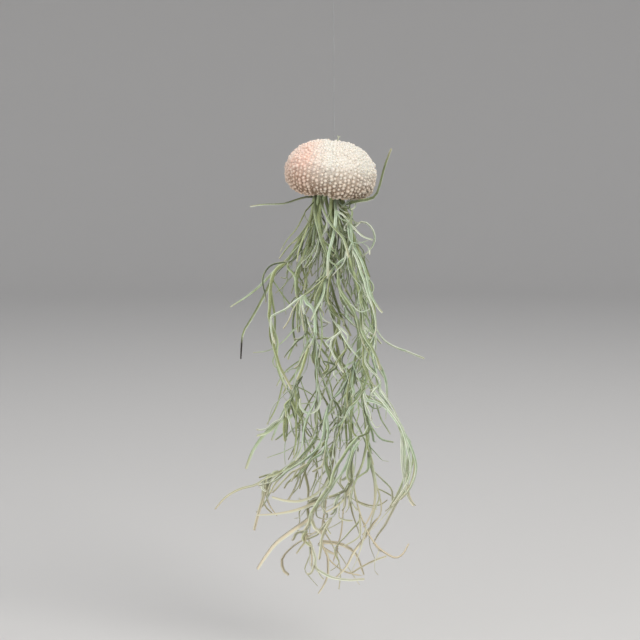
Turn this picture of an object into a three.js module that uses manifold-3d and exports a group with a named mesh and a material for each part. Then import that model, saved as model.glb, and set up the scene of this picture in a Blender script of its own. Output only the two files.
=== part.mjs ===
// A hanging air plant shaped like a jellyfish. A dried sea-urchin shell hangs, dome up,
// on a thin clear line. A bunch of Spanish-moss stems is tied inside the shell and
// trails out of its mouth like tentacles.
// Millimetres, +Z up, +X to the right of someone who looks along +Y.
// The origin is the inside top of the hanging loop, where a hook's wire lies.

import * as THREE from 'three';
import { mergeVertices } from 'three/addons/utils/BufferGeometryUtils.js';
import Module from 'manifold-3d';

const wasm = await Module();
wasm.setup();

// ---- Driving dimensions ----

// The urchin shell, in its own frame: its axis is Z and its widest girth lies at z = 0.
const SHELL_CENTRE = new THREE.Vector3(-2.1, 0, -116.6);
const SHELL_TILT = THREE.MathUtils.degToRad(7); // the dome leans to the right
const SHELL_WALL = 1.2;
const SHELL_PROFILE = [ // radius and height, from the mouth round the girth to the top hole
  [10.8, -10.9], [12.6, -12.3], [15.5, -12.6], [18.7, -12.1], [22.1, -10.5],
  [24.5, -8.1], [26.0, -5.1], [26.5, -1.5], [26.3, 2.4], [25.1, 6.3],
  [22.5, 10.5], [18.4, 14.4], [12.9, 17.1], [7.6, 18.5], [3.5, 19.1],
];
const SHELL_COLUMNS = 60;
const SHELL_ROWS = 24;
const SHELL_INNER_ROWS = 7;
const TUBERCLE_RISE = 0.65; // below the girth; the tubercles fade towards the top
const TUBERCLE_RISE_TOP = 0.25;
const LOBE_RISE = 0.9; // the underside bulges in five lobes round the mouth
const LOBE_COUNT = 5;
const LOBE_TURN = THREE.MathUtils.degToRad(292); // the middle of one lobe

// The tie: the line's lower end, wound over the gathered stem tops.
const TIE_RADIUS = 9.1;
const TIE_WALL = 1.0;
const TIE_BOTTOM = 10.6; // heights in the shell's frame
const TIE_CEILING = 15.8;
const TIE_SHOULDER = 16.3;
const TIE_CROWN = 17.2;
const TAIL_FOOT = new THREE.Vector3(1.6, 0, 16.9);
const TAIL_TIP = new THREE.Vector3(2.2, 0, 22.6);
const TAIL_RADIUS = 0.32;

// The hanging line and the knotted loop at its upper end.
const LINE_DIAMETER = 0.4;
const LINE_STEPS = 60;
const LOOP_HEIGHT = 9.6;
const LOOP_WIDTH = 6.4;
const KNOT_HEIGHT = 3;
const KNOT_WALL = 0.7;
const LINE_PAIR_SPACING = 0.72; // between the two runs of line inside the knot
const TOUCHING_GAP = 0.3;

// The moss. Its routes are [across, away from the viewer, drop below the shell's mouth].
const MOSS_ORIGIN = new THREE.Vector3(-2.4, 0, -130.4);
const MOUTH_CENTRE_X = -1.4;
const TIE_CENTRE_X = 2.2; // the tilted axis crosses the tie here
const STEM_TOP_DROP = -28.6;
const STEM_TIE_EXIT_DROP = -20;
const GATHERING = 0.67; // spacing of the stems in the tie, over their spacing in the mouth
const STEM_SIDES = 3;
const STEM_TIED_RADIUS = 1.0;
const STEM_RADIUS = 1.3;
const STEM_END_RADIUS = 0.45;
const STEM_SPANS = 2; // straight pieces between two points of a route
const LEAF_SIDES = 3;
const LEAF_RADIUS = 0.95;
const LEAF_TIP_RADIUS = 0.34;
const LEAF_STEPS = 4;
const LEAF_POINT = 1.2; // length of the sharp end past the last ring
const LEAF_CLEARANCE = 0.4;
const STEM_CLEARANCE = 0.7;
const PARTING_PASSES = 120;
const PARTING_SHARE = 0.4; // of the missing room, made up by each stem in one pass
const PARTING_HEIGHT = 20; // pieces further apart in height than this can't touch
const PINNED_POINTS = 5; // points of a stem that the tie and the mouth hold in place

// Leaves that the rule places: one at every node of a stem.
const BUNCH_LENGTH = 240;
const NODE_SPACING = 18;
const FIRST_NODE = 9; // distance of the first node below the mouth
const LEAF_LENGTHS = [24, 44];
const LEAF_OPENINGS = [18, 50]; // degrees between leaf and stem at the root
const LEAF_CURLS = [-55, 95]; // degrees that a leaf turns outwards along its length
const LEAF_WAVES = [-35, 35];
const LEAF_SPREAD = [0.65, 1.15]; // openings and curls grow from the mouth to the lowest tips
const LEAF_TRIES = 24;
const STEM_TURN = 2.4; // radians from one stem's first leaf to the next stem's
const NODE_TURN = 2.6; // radians from one node's leaf to the next
const LEAF_SWING = [-0.9, 0.9]; // radians either side of that
const LEAF_TOP_DROP = 5; // no placed leaf comes nearer the shell than this
const BUNCH_OUTLINE = [ // drop, middle and half width of the bunch
  [0, 1, 11], [30, 0, 21], [60, -3, 33], [95, -4, 36], [140, -1, 40], [175, -2, 44],
  [205, 0, 42], [BUNCH_LENGTH, 0, 30],
];

// ---- Stems, traced from the mouth down ----

const STEM_ROUTES = {
  moss_stem_01: [
    [-9.2, 1, 0], [-11.5, 1, 13], [-17.5, 0, 25], [-25, -2, 37.5], [-32, -4, 43],
    [-35.6, -6, 54.5], [-36.4, -8, 69], [-34.6, -9, 83], [-33, -9, 93], [-29, -8, 104],
    [-24.5, -7, 113.5], [-22.3, -6, 123.5], [-21, -5, 135.5],
  ],
  moss_stem_02: [
    [-6.8, -5.5, 0], [-8.6, -8, 12], [-11.5, -10, 25], [-16.5, -12, 36.5], [-20.6, -13, 46.5],
    [-19.6, -14, 59.5], [-17, -15, 72.5], [-13.5, -16, 85.5], [-15.5, -17, 98.5],
    [-20.5, -17, 111.5], [-24.5, -16, 125.5], [-27.3, -15, 141.5],
  ],
  moss_stem_03: [
    [-5, 4.5, 0], [-6, 6, 14.5], [-4.8, 8, 29], [-1.4, 10, 42], [-5, 11, 55], [-8.8, 11, 68],
    [-9.2, 10, 81], [-9.8, 9, 94], [-8.2, 8, 107], [-8, 7, 119.5], [-8.6, 5, 132.5],
    [-8, 3, 145.5], [-15.5, 1, 156.5], [-27, -1, 165], [-40, -3, 171.5],
  ],
  moss_stem_04: [
    [-2.5, -2, 0], [0.5, -5, 14.5], [0.6, -7, 29.5], [-1.4, -8, 44], [-3, -9, 59], [5.6, -9, 74],
    [1.4, -9, 88], [6.5, -9, 102], [10.4, -9, 116], [8.8, -10, 130], [4, -11, 144.5],
    [-2, -12, 158], [0, -13, 171], [-7.5, -14, 183.5], [-14.5, -15, 198], [-11.2, -16, 210.5],
    [-11, -16, 224.5],
  ],
  moss_stem_05: [
    [0.5, 3, 0], [2, 5, 14.5], [1.4, 7, 28.5], [-0.6, 8, 43], [-3.4, 9, 57], [2, 10, 72],
    [3.6, 10, 88], [7.6, 9, 104], [10.6, 8, 118], [7.4, 7, 131.5], [3.4, 5, 144.5],
    [2.6, 3, 158.5], [-1, 1, 175], [-3, -1, 191], [-5, -4, 206.5], [-1, -6, 219.5], [9, -6, 228],
    [20, -6, 230.5],
  ],
  moss_stem_06: [
    [3, -4.5, 0], [4.6, -8, 14.5], [9, -11, 28], [11.6, -12, 41.5], [18, -13, 53.5],
    [18.4, -14, 67.5], [20, -15, 81.5], [20, -15, 96.5], [21.6, -15, 109.5], [14.6, -14, 122.5],
    [12.6, -13, 137.5], [13.2, -12, 154], [14, -11, 170], [16.5, -11, 185], [22.5, -11, 202],
    [31, -11, 215],
  ],
  moss_stem_07: [
    [5, 2.5, 0], [8.5, 2, 14], [13, 1, 28], [17, -1, 41], [21.6, -3, 54.5], [26, -4, 68.5],
    [27.2, -5, 81.5], [23.4, -5, 93.5], [22.6, -5, 105.5], [25.4, -5, 116.5], [22, -4, 127.5],
    [22.8, -3, 139.5], [23.4, -2, 154], [26, -2, 168], [30, -3, 181], [30.5, -4, 193.5],
    [19, -6, 206],
  ],
  moss_stem_08: [
    [7.2, -1, 0], [11, -4, 12.5], [14.4, -5, 25.5], [19.4, -4, 39.5], [24, 0, 55], [27, 3, 70],
    [26, 6, 84.5], [21, 8, 98], [20.6, 9, 110], [19.5, 8, 120], [28.5, 6, 124.5], [38, 4, 131.5],
    [44, 3, 141.5], [49.5, 1, 152], [51.5, -1, 164], [47.5, -3, 177.5], [37, -6, 187.5],
  ],
  moss_stem_09: [
    [2, 6.9, 0], [4, 10, 15], [8.4, 13, 29], [5.4, 16, 42.5], [5.4, 18, 56], [12, 19, 68],
    [17, 20, 81], [17.4, 20, 95], [13.6, 19, 108], [13.8, 18, 120], [11, 17, 132.5],
    [12.6, 15, 147.5], [13, 13, 161.5], [12.4, 11, 175], [8.6, 9, 191], [7, 6, 206.5],
    [2, 3, 224.5],
  ],
  moss_stem_10: [
    [-3.5, 7.6, 0], [-8.4, 11, 15], [-13, 14, 27.5], [-17.4, 17, 40.5], [-20.2, 19, 54],
    [-18.6, 20, 67], [-16, 20, 80], [-13, 20, 93], [-17, 20, 106], [-20.6, 19, 119],
    [-18.2, 18, 133], [-16.2, 16, 146.5], [-15.4, 13, 161.5], [-20.5, 10, 174],
  ],
  moss_stem_11: [
    [-3.6, -7.8, 0], [-7, -11, 12], [-5, -15, 24.5], [-1.4, -18, 37], [-3.8, -20, 50],
    [-8.4, -22, 63], [-9, -23, 76.5], [-9.2, -24, 90.5], [-7.8, -24, 104.5], [-8.2, -24, 118.5],
    [-13.4, -23, 131.5], [-16.6, -22, 146.5],
  ],
  moss_stem_12: [
    [1, -8, 0], [0.8, -13, 12.5], [8, -17, 25], [11.6, -20, 37.5], [15.4, -21, 49.5],
    [17.8, -22, 62], [18.8, -23, 75.5], [20, -24, 88.5], [15.4, -24, 100.5], [13.6, -23, 113.5],
    [12.4, -22, 127.5], [12.6, -20, 145],
  ],
  moss_stem_13: [
    [5.6, 5.9, 0], [10.4, 9, 15], [14.6, 13, 29], [18.6, 17, 43.5], [22.4, 19, 58], [26, 21, 72],
    [25.4, 23, 86], [20.6, 24, 99.5], [23.4, 25, 112.5], [20, 26, 124.5], [21.6, 25, 138.5],
    [22.6, 23, 152], [20.5, 21, 167],
  ],
};

// ---- Leaves that stand out from the bunch, each traced from its stem to its tip ----

const TRACED_LEAVES = [
  ['moss_stem_01', [[-9.3, 0, 0.5], [-14, -1.5, 0.6], [-20, -2, 2.2], [-28, -3, 4.6],
    [-40, -4, 5], [-48, -4, 6.2]]],
  ['moss_stem_08', [[8.5, -3, 4.5], [14, -11.5, 2.8], [19, -13, 1.9], [24.6, -11.5, 0.9],
    [27.8, -8, -1.7], [29.8, -5, -7], [31.9, -2.5, -15.3], [33.7, -1, -21], [36.7, 0, -28.5]]],
  ['moss_stem_08', [[13, -4, 17.5], [20.4, -8, 15], [25.4, -9, 19], [26.8, -9, 26],
    [23.5, -9, 32], [18.5, -9, 36]]],
  ['moss_stem_01', [[-30.5, -4, 41], [-40.5, -6, 51.5], [-49, -7, 58.8], [-60, -8, 66]]],
  ['moss_stem_01', [[-33.5, -5, 48], [-40, -9, 61], [-46.8, -11, 73], [-52, -12, 82],
    [-53.4, -12, 97]]],
  ['moss_stem_01', [[-38.5, -8, 70], [-36, -17, 80], [-34, -20, 90], [-31, -22, 103],
    [-26, -24, 113]]],
  ['moss_stem_07', [[25, -5, 79], [30, -9, 85.5], [37, -11, 89.6], [46, -12, 92.6],
    [56.5, -13, 96.5]]],
  ['moss_stem_02', [[-18.5, -15, 75], [-24, -16, 80.5], [-29, -16.5, 86.5], [-37, -17, 91.5],
    [-46, -17, 92.5]]],
  ['moss_stem_11', [[-12, -24, 111], [-9.5, -28, 118], [-10.5, -29, 125], [-15.5, -29, 127],
    [-18.6, -29, 123], [-17.6, -29, 118]]],
  ['moss_stem_08', [[43, 4, 142], [44.6, 1, 152], [45, -2, 164], [43.6, -5, 176],
    [38, -8, 186], [33.5, -10, 190]]],
  ['moss_stem_08', [[48, 2, 151], [47.4, 7, 162], [47, 9, 176], [48.4, 9, 185], [52, 9, 190.5]]],
  ['moss_stem_07', [[22, -4, 134], [26, -8, 141], [31, -10, 146], [38.4, -11, 147.5]]],
  ['moss_stem_07', [[24.5, -2, 159], [27.5, -9, 172], [27, -12, 185], [23.5, -13, 194],
    [19.8, -13, 199]]],
  ['moss_stem_06', [[29, -11, 213], [38.4, -11, 218.6], [44, -11, 216.5], [48, -11, 209.5]]],
  ['moss_stem_09', [[3, 4, 220], [-8, 2, 212], [0, 1, 211.5], [8, 1, 213], [16, 1, 219],
    [21, 1, 232]]],
  ['moss_stem_03', [[-39, -3, 174.6], [-45, -4, 177], [-54, -5, 178.4], [-63, -6, 182.5],
    [-70, -6, 189.5]]],
  ['moss_stem_03', [[-37, -3, 174.4], [-39, -6, 183], [-42.5, -8, 192], [-46, -9, 202]]],
  ['moss_stem_03', [[-33, -2, 173.2], [-37.5, 1, 182], [-37, 2, 189], [-32.4, 2, 195.5]]],
  ['moss_stem_03', [[-11, 3, 157], [-16, -3, 168], [-21, -6, 178], [-26, -7, 184]]],
  ['moss_stem_04', [[-6, -12, 170], [-12, -17, 178], [-20, -19, 182], [-28, -20, 181.5],
    [-35, -20, 179]]],
  ['moss_stem_04', [[-8, -13, 182], [-20, -19, 186.5], [-32, -21, 189], [-44.4, -22, 190]]],
  ['moss_stem_04', [[-12, -15, 194], [-23, -23, 200], [-32, -27, 206], [-38, -29, 213],
    [-43.5, -30, 221]]],
  ['moss_stem_05', [[-3.6, -3, 202], [-14, 0, 209], [-23, 1, 215], [-28.8, 1, 222],
    [-28, 1, 229], [-25, 1, 232]]],
  ['moss_stem_01', [[-26.5, -6, 132], [-37, -5, 138], [-43, -5, 145], [-48, -5, 154],
    [-51, -5, 165]]],
  ['moss_stem_02', [[-27.5, -17, 117], [-32, -19, 130], [-38, -20, 139], [-43.8, -20, 142]]],
  ['moss_stem_10', [[-16, 19, 122], [-24, 22, 131], [-30, 25, 141], [-36, 27, 153]]],
  ['moss_stem_13', [[20, 25, 93], [28, 30, 103], [34, 33, 115], [36, 35, 128]]],
  ['moss_stem_13', [[15, 27, 118], [8, 34, 127], [3, 39, 138], [2, 42, 150]]],
];

// ---- Shared helpers ----

function seededRandom(seed) {
  let state = seed;
  return () => {
    state = (Math.imul(state, 1664525) + 1013904223) >>> 0;
    return state / 4294967296;
  };
}

function between([low, high], share) {
  return low + (high - low) * share;
}

function toSolid(geometry) {
  const bare = geometry.clone();
  bare.deleteAttribute('normal');
  bare.deleteAttribute('uv');
  const merged = mergeVertices(bare, 1e-5);
  return new wasm.Manifold(new wasm.Mesh({
    numProp: 3,
    vertProperties: new Float32Array(merged.attributes.position.array),
    triVerts: new Uint32Array(merged.index.array),
  }));
}

function toGeometry(solid) {
  const mesh = solid.getMesh();
  const geometry = new THREE.BufferGeometry();
  geometry.setAttribute('position', new THREE.BufferAttribute(mesh.vertProperties, 3));
  geometry.setIndex(new THREE.BufferAttribute(mesh.triVerts, 1));
  return geometry;
}

function namedMesh(name, geometry, color, roughness) {
  const flat = geometry.index ? geometry.toNonIndexed() : geometry;
  flat.computeVertexNormals();
  const mesh = new THREE.Mesh(
    flat,
    new THREE.MeshStandardMaterial({ color, roughness, metalness: 0 }),
  );
  mesh.name = name;
  return mesh;
}

// Direction of a row of points at one of them, taken across its neighbours.
function directionAt(points, i) {
  const before = points[Math.max(i - 1, 0)];
  const after = points[Math.min(i + 1, points.length - 1)];
  return after.clone().sub(before).normalize();
}

// A closed tapering rod along a row of points: a cylinder whose rings are laid on them.
function taperedRod(points, radii, sides, sharpEnd) {
  const steps = points.length - 1;
  const rod = new THREE.CylinderGeometry(1, 1, 1, sides, steps);
  rod.deleteAttribute('normal');
  rod.deleteAttribute('uv');
  const merged = mergeVertices(rod, 1e-5);
  const place = merged.attributes.position;
  const first = directionAt(points, 0);
  let across = new THREE.Vector3(0, 1, 0);
  if (Math.abs(first.y) > 0.9) {
    across = new THREE.Vector3(1, 0, 0);
  }
  const rings = points.map((point, i) => {
    const along = directionAt(points, i);
    across = across.clone().addScaledVector(along, -across.dot(along)).normalize();
    return { point, along, across, side: across.clone().cross(along) };
  });
  for (let v = 0; v < place.count; v += 1) {
    const i = Math.round((place.getY(v) + 0.5) * steps);
    const { point, along, across: out, side } = rings[i];
    const spot = point.clone();
    spot.addScaledVector(out, place.getX(v) * radii[i]);
    spot.addScaledVector(side, place.getZ(v) * radii[i]);
    const isCapCentre = Math.hypot(place.getX(v), place.getZ(v)) < 0.5;
    if (isCapCentre && i === steps) {
      spot.addScaledVector(along, sharpEnd);
    }
    place.setXYZ(v, spot.x, spot.y, spot.z);
  }
  return merged;
}

// A smooth line through the points of a route, as straight pieces.
function smoothRoute(points, spans) {
  const curve = new THREE.CatmullRomCurve3(points, false, 'catmullrom', 0.5);
  return curve.getPoints((points.length - 1) * spans);
}

// Where two straight pieces, a-b and c-d, come nearest: shares along both, and the
// vector from the second to the first.
function nearestApproach(a, b, c, d) {
  const ab = b.clone().sub(a);
  const cd = d.clone().sub(c);
  const ca = a.clone().sub(c);
  const abab = ab.dot(ab);
  const cdcd = cd.dot(cd);
  const abcd = ab.dot(cd);
  const abca = ab.dot(ca);
  const cdca = cd.dot(ca);
  const clamp = THREE.MathUtils.clamp;
  const spread = abab * cdcd - abcd * abcd;
  let s = spread > 1e-9 ? clamp((abcd * cdca - abca * cdcd) / spread, 0, 1) : 0;
  let t = (abcd * s + cdca) / cdcd;
  if (t < 0) {
    t = 0;
    s = clamp(-abca / abab, 0, 1);
  } else if (t > 1) {
    t = 1;
    s = clamp((abcd - abca) / abab, 0, 1);
  }
  const away = ca.addScaledVector(ab, s).addScaledVector(cd, -t);
  return { s, t, away, distance: away.length() };
}

// ---- The urchin shell ----

// The profile as a row of points with even steps, moved in by a wall thickness.
function shellProfile(rows, inset) {
  const outline = SHELL_PROFILE.map(([radius, height]) => new THREE.Vector2(radius, height));
  const curve = new THREE.SplineCurve(outline);
  const steps = curve.getSpacedPoints(rows);
  return steps.map((point, i) => {
    const before = steps[Math.max(i - 1, 0)];
    const after = steps[Math.min(i + 1, rows)];
    const out = new THREE.Vector2(after.y - before.y, before.x - after.x).normalize();
    return point.clone().addScaledVector(out, -inset);
  });
}

// Every second point of the outer wall stands out as a tubercle, in staggered rows.
function tubercleRise(row, column, height) {
  const isEdge = row === 0 || row === SHELL_ROWS;
  if (isEdge || (row + column) % 2 === 1) {
    return 0;
  }
  const towardsTop = THREE.MathUtils.smoothstep(height, -2, 14);
  return between([TUBERCLE_RISE, TUBERCLE_RISE_TOP], towardsTop);
}

// The underside is lobed between the mouth's rim and the girth.
function lobeRise(row, turn, height) {
  if (row === 0) {
    return 0;
  }
  const ripple = 0.5 + 0.5 * Math.cos(LOBE_COUNT * (turn - LOBE_TURN));
  return LOBE_RISE * ripple * THREE.MathUtils.smoothstep(-height, 4, 11);
}

function urchinShell() {
  const outer = shellProfile(SHELL_ROWS, 0);
  const inner = shellProfile(SHELL_INNER_ROWS, SHELL_WALL).reverse();
  const outward = shellProfile(SHELL_ROWS, -1);
  const rows = [...outer, ...inner];
  const positions = [];
  rows.forEach((ring, row) => {
    for (let column = 0; column < SHELL_COLUMNS; column += 1) {
      const turn = (2 * Math.PI * column) / SHELL_COLUMNS;
      const spot = ring.clone();
      if (row <= SHELL_ROWS) {
        const rise = tubercleRise(row, column, ring.y) + lobeRise(row, turn, ring.y);
        spot.lerp(outward[row], rise);
      }
      positions.push(spot.x * Math.cos(turn), spot.x * Math.sin(turn), spot.y);
    }
  });
  const index = [];
  for (let row = 0; row < rows.length; row += 1) {
    const next = (row + 1) % rows.length;
    for (let column = 0; column < SHELL_COLUMNS; column += 1) {
      const beside = (column + 1) % SHELL_COLUMNS;
      const a = row * SHELL_COLUMNS + column;
      const b = row * SHELL_COLUMNS + beside;
      const c = next * SHELL_COLUMNS + beside;
      const d = next * SHELL_COLUMNS + column;
      // The diagonal joins the two low corners, so each tubercle is a small pyramid.
      if ((row + column) % 2 === 0) {
        index.push(a, b, d, b, c, d);
      } else {
        index.push(a, b, c, a, c, d);
      }
    }
  }
  const geometry = new THREE.BufferGeometry();
  geometry.setAttribute('position', new THREE.Float32BufferAttribute(positions, 3));
  geometry.setIndex(index);
  return geometry;
}

// ---- The tie inside the shell, with the cut tail of the line ----

function lineTie() {
  const hollow = TIE_RADIUS - TIE_WALL;
  const profile = [
    new THREE.Vector2(0, TIE_CEILING),
    new THREE.Vector2(hollow, TIE_CEILING - 0.4),
    new THREE.Vector2(hollow, TIE_BOTTOM),
    new THREE.Vector2(TIE_RADIUS, TIE_BOTTOM),
    new THREE.Vector2(TIE_RADIUS, TIE_SHOULDER - 1),
    new THREE.Vector2(TIE_RADIUS - 0.9, TIE_SHOULDER),
    new THREE.Vector2(TIE_RADIUS / 2, TIE_CROWN - 0.2),
    new THREE.Vector2(0, TIE_CROWN),
  ];
  const cap = new THREE.LatheGeometry(profile, 24);
  cap.rotateX(Math.PI / 2);
  const middle = TAIL_FOOT.clone().lerp(TAIL_TIP, 0.5).add(new THREE.Vector3(-0.15, 0.1, 0));
  const tail = taperedRod(
    [TAIL_FOOT, middle, TAIL_TIP],
    [TAIL_RADIUS, TAIL_RADIUS, TAIL_RADIUS],
    5,
    0.2,
  );
  return toGeometry(toSolid(cap).add(toSolid(tail)));
}

// ---- The hanging line, its loop and the knot ----

function lineRoute() {
  const half = LINE_PAIR_SPACING / 2;
  const crest = LINE_DIAMETER / 2;
  const knotTop = crest - LOOP_HEIGHT;
  const knotBottom = knotTop - KNOT_HEIGHT;
  const tieTop = SHELL_CENTRE.z + TIE_CROWN * Math.cos(SHELL_TILT);
  const foot = tieTop + TOUCHING_GAP + crest;
  const wide = LOOP_WIDTH / 2;
  const up = [
    [0, foot], [-0.06, foot + 14], [-0.12, foot + 28], [-0.18, foot + 42], [-0.24, foot + 56],
    [-0.3, foot + 70], [-half, knotBottom - 1], [-half, knotTop + 0.8],
  ];
  const leftHalf = [
    [-0.5 * wide, knotTop + 2.9], [-wide, knotTop + 5.6], [-0.75 * wide, knotTop + 8.3],
  ];
  const rightHalf = leftHalf.map(([x, z]) => [-x, z]).reverse();
  const down = [[half, knotTop + 0.8], [half, knotBottom - 1.4]];
  const spots = [...up, ...leftHalf, [0, crest], ...rightHalf, ...down];
  return spots.map(([x, z]) => new THREE.Vector3(x, 0, z));
}

function hangingLine() {
  const section = new THREE.Shape();
  section.absarc(0, 0, LINE_DIAMETER / 2, 0, 2 * Math.PI, false);
  return new THREE.ExtrudeGeometry(section, {
    steps: LINE_STEPS,
    curveSegments: 4,
    bevelEnabled: false,
    extrudePath: new THREE.CatmullRomCurve3(lineRoute(), false, 'centripetal'),
  });
}

// A short sleeve of turns round both runs of line.
function loopKnot() {
  const half = LINE_PAIR_SPACING / 2;
  const inner = LINE_DIAMETER / 2 + TOUCHING_GAP;
  const band = (radius) => {
    const shape = new THREE.Shape();
    shape.absarc(half, 0, radius, -Math.PI / 2, Math.PI / 2, false);
    shape.absarc(-half, 0, radius, Math.PI / 2, (3 * Math.PI) / 2, false);
    return shape;
  };
  const ring = band(inner + KNOT_WALL);
  ring.holes.push(band(inner));
  const sleeve = new THREE.ExtrudeGeometry(ring, {
    depth: KNOT_HEIGHT,
    curveSegments: 6,
    bevelEnabled: false,
  });
  sleeve.translate(0, 0, LINE_DIAMETER / 2 - LOOP_HEIGHT - KNOT_HEIGHT);
  return sleeve;
}

// ---- The moss ----

// A stem runs from the tie, where all of them are gathered, out of the mouth and down.
function stemPoints(route) {
  const [mouthX, mouthY] = route[0];
  const tiedX = TIE_CENTRE_X + (mouthX - MOUTH_CENTRE_X) * GATHERING;
  const tiedY = mouthY * GATHERING;
  const lean = Math.tan(SHELL_TILT);
  const topDrop = STEM_TOP_DROP + lean * (tiedX - TIE_CENTRE_X);
  const tied = [
    [tiedX, tiedY, topDrop],
    [tiedX - lean * (STEM_TIE_EXIT_DROP - topDrop), tiedY, STEM_TIE_EXIT_DROP],
  ];
  const points = [...tied, ...route].map(([x, y, drop]) => new THREE.Vector3(x, y, -drop));
  return smoothRoute(points, STEM_SPANS);
}

// Stems that come too near each other are bent apart sideways, a little at a time.
function partStems(stems) {
  for (let pass = 0; pass < PARTING_PASSES; pass += 1) {
    const moves = stems.map((stem) => stem.points.map(() => new THREE.Vector3()));
    let crowded = false;
    for (let m = 0; m < stems.length; m += 1) {
      for (let n = m + 1; n < stems.length; n += 1) {
        for (let i = 0; i < stems[m].points.length - 1; i += 1) {
          const a = stems[m].points[i];
          const b = stems[m].points[i + 1];
          for (let j = 0; j < stems[n].points.length - 1; j += 1) {
            const c = stems[n].points[j];
            const d = stems[n].points[j + 1];
            if (Math.abs(a.z + b.z - c.z - d.z) > 2 * PARTING_HEIGHT) {
              continue;
            }
            const near = nearestApproach(a, b, c, d);
            const room = stems[m].radii[i] + stems[n].radii[j] + STEM_CLEARANCE;
            if (near.distance >= room || Math.max(i, j) < PINNED_POINTS) {
              continue;
            }
            crowded = true;
            const sideways = near.away.clone().setZ(0).normalize();
            const push = sideways.multiplyScalar((room - near.distance) * PARTING_SHARE);
            moves[m][i].addScaledVector(push, 1 - near.s);
            moves[m][i + 1].addScaledVector(push, near.s);
            moves[n][j].addScaledVector(push, near.t - 1);
            moves[n][j + 1].addScaledVector(push, -near.t);
          }
        }
      }
    }
    if (!crowded) {
      return;
    }
    stems.forEach((stem, m) => {
      stem.points.forEach((point, i) => {
        if (i >= PINNED_POINTS) {
          point.add(moves[m][i]);
        }
      });
    });
  }
}

function makeStem(name, route) {
  const points = stemPoints(route);
  const last = points.length - 1;
  const radii = points.map((point, i) => {
    const share = THREE.MathUtils.clamp((i - PINNED_POINTS) / (last - PINNED_POINTS), 0, 1);
    return i < PINNED_POINTS - 1
      ? STEM_TIED_RADIUS
      : between([STEM_RADIUS, STEM_END_RADIUS], share);
  });
  return { name, points, radii, leaves: [] };
}

function leafRadii(steps) {
  return Array.from({ length: steps + 1 }, (_, i) => {
    return between([LEAF_RADIUS, LEAF_TIP_RADIUS], i / steps);
  });
}

// The point of a stem's centre line that lies nearest to a spot.
function nearestOnStem(stem, spot) {
  let best = null;
  let least = Infinity;
  for (let i = 0; i < stem.points.length - 1; i += 1) {
    const piece = new THREE.Line3(stem.points[i], stem.points[i + 1]);
    const point = piece.closestPointToPoint(spot, true, new THREE.Vector3());
    if (point.distanceTo(spot) < least) {
      least = point.distanceTo(spot);
      best = point;
    }
  }
  return best;
}

// A traced leaf starts on its stem's centre line, wherever parting has moved the stem.
function tracedLeaf(stem, route) {
  const points = route.map(([x, y, drop]) => new THREE.Vector3(x, y, -drop));
  const root = nearestOnStem(stem, points[0]);
  const shift = root.clone().sub(points[0]);
  points.forEach((point, i) => {
    point.addScaledVector(shift, 1 - i / (points.length - 1));
  });
  return { points, radii: leafRadii(points.length - 1) };
}

// One candidate leaf from five draws: it leaves the stem at an opening angle, then
// turns outwards by its curl and swings sideways once by its wave.
function drawnLeaf(root, along, sideTurn, random) {
  const spread = between(LEAF_SPREAD, -root.z / BUNCH_LENGTH);
  const swing = sideTurn + between(LEAF_SWING, random());
  const opening = THREE.MathUtils.degToRad(between(LEAF_OPENINGS, random())) * spread;
  const curl = THREE.MathUtils.degToRad(between(LEAF_CURLS, random())) * spread;
  const wave = THREE.MathUtils.degToRad(between(LEAF_WAVES, random()));
  const step = between(LEAF_LENGTHS, random()) / LEAF_STEPS;
  const level = new THREE.Vector3(Math.cos(swing), Math.sin(swing), 0);
  const out = level.addScaledVector(along, -level.dot(along)).normalize();
  const hinge = along.clone().cross(out);
  const points = [root.clone()];
  for (let i = 0; i < LEAF_STEPS; i += 1) {
    const share = (i + 0.5) / LEAF_STEPS;
    const direction = along.clone().applyAxisAngle(hinge, opening + curl * share * share);
    direction.applyAxisAngle(out, wave * Math.sin(2 * Math.PI * share));
    points.push(points[i].clone().addScaledVector(direction, step));
  }
  return { points, radii: leafRadii(LEAF_STEPS) };
}

// The bunch's middle and half width at a drop below the mouth.
function bunchOutline(drop) {
  const last = BUNCH_OUTLINE.length - 1;
  const row = BUNCH_OUTLINE.findIndex(([level]) => level > drop);
  const upper = BUNCH_OUTLINE[row < 0 ? last : Math.max(row - 1, 0)];
  const lower = BUNCH_OUTLINE[row < 0 ? last : row];
  const share = lower[0] > upper[0] ? (drop - upper[0]) / (lower[0] - upper[0]) : 0;
  return {
    middle: between([upper[1], lower[1]], share),
    half: between([upper[2], lower[2]], share),
  };
}

function staysInBunch(leaf) {
  return leaf.points.slice(1).every((point) => {
    const drop = -point.z;
    const { middle, half } = bunchOutline(drop);
    const reach = Math.hypot(point.x - middle, point.y);
    return drop > LEAF_TOP_DROP && drop < BUNCH_LENGTH && reach < half;
  });
}

function isClear(leaf, name, rods) {
  return rods.every((rod) => {
    if (rod.name === name) {
      return true;
    }
    for (let i = 0; i < leaf.points.length - 1; i += 1) {
      const near = nearestApproach(leaf.points[i], leaf.points[i + 1], rod.start, rod.end);
      if (near.distance < leaf.radii[i] + rod.radius + LEAF_CLEARANCE) {
        return false;
      }
    }
    return true;
  });
}

function addRods(rods, name, { points, radii }) {
  for (let i = 0; i < points.length - 1; i += 1) {
    rods.push({ name, start: points[i], end: points[i + 1], radius: radii[i] });
  }
}

// The nodes of a stem: evenly spaced along it, from just below the mouth to its end.
function stemNodes(stem) {
  const nodes = [];
  let along = -FIRST_NODE;
  let next = 0;
  for (let i = PINNED_POINTS - 1; i < stem.points.length - 1; i += 1) {
    const a = stem.points[i];
    const b = stem.points[i + 1];
    const length = a.distanceTo(b);
    while (along + length >= next) {
      const share = THREE.MathUtils.clamp((next - along) / length, 0, 1);
      nodes.push({ root: a.clone().lerp(b, share), along: directionAt([a, b], 0) });
      next += NODE_SPACING;
    }
    along += length;
  }
  return nodes;
}

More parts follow.
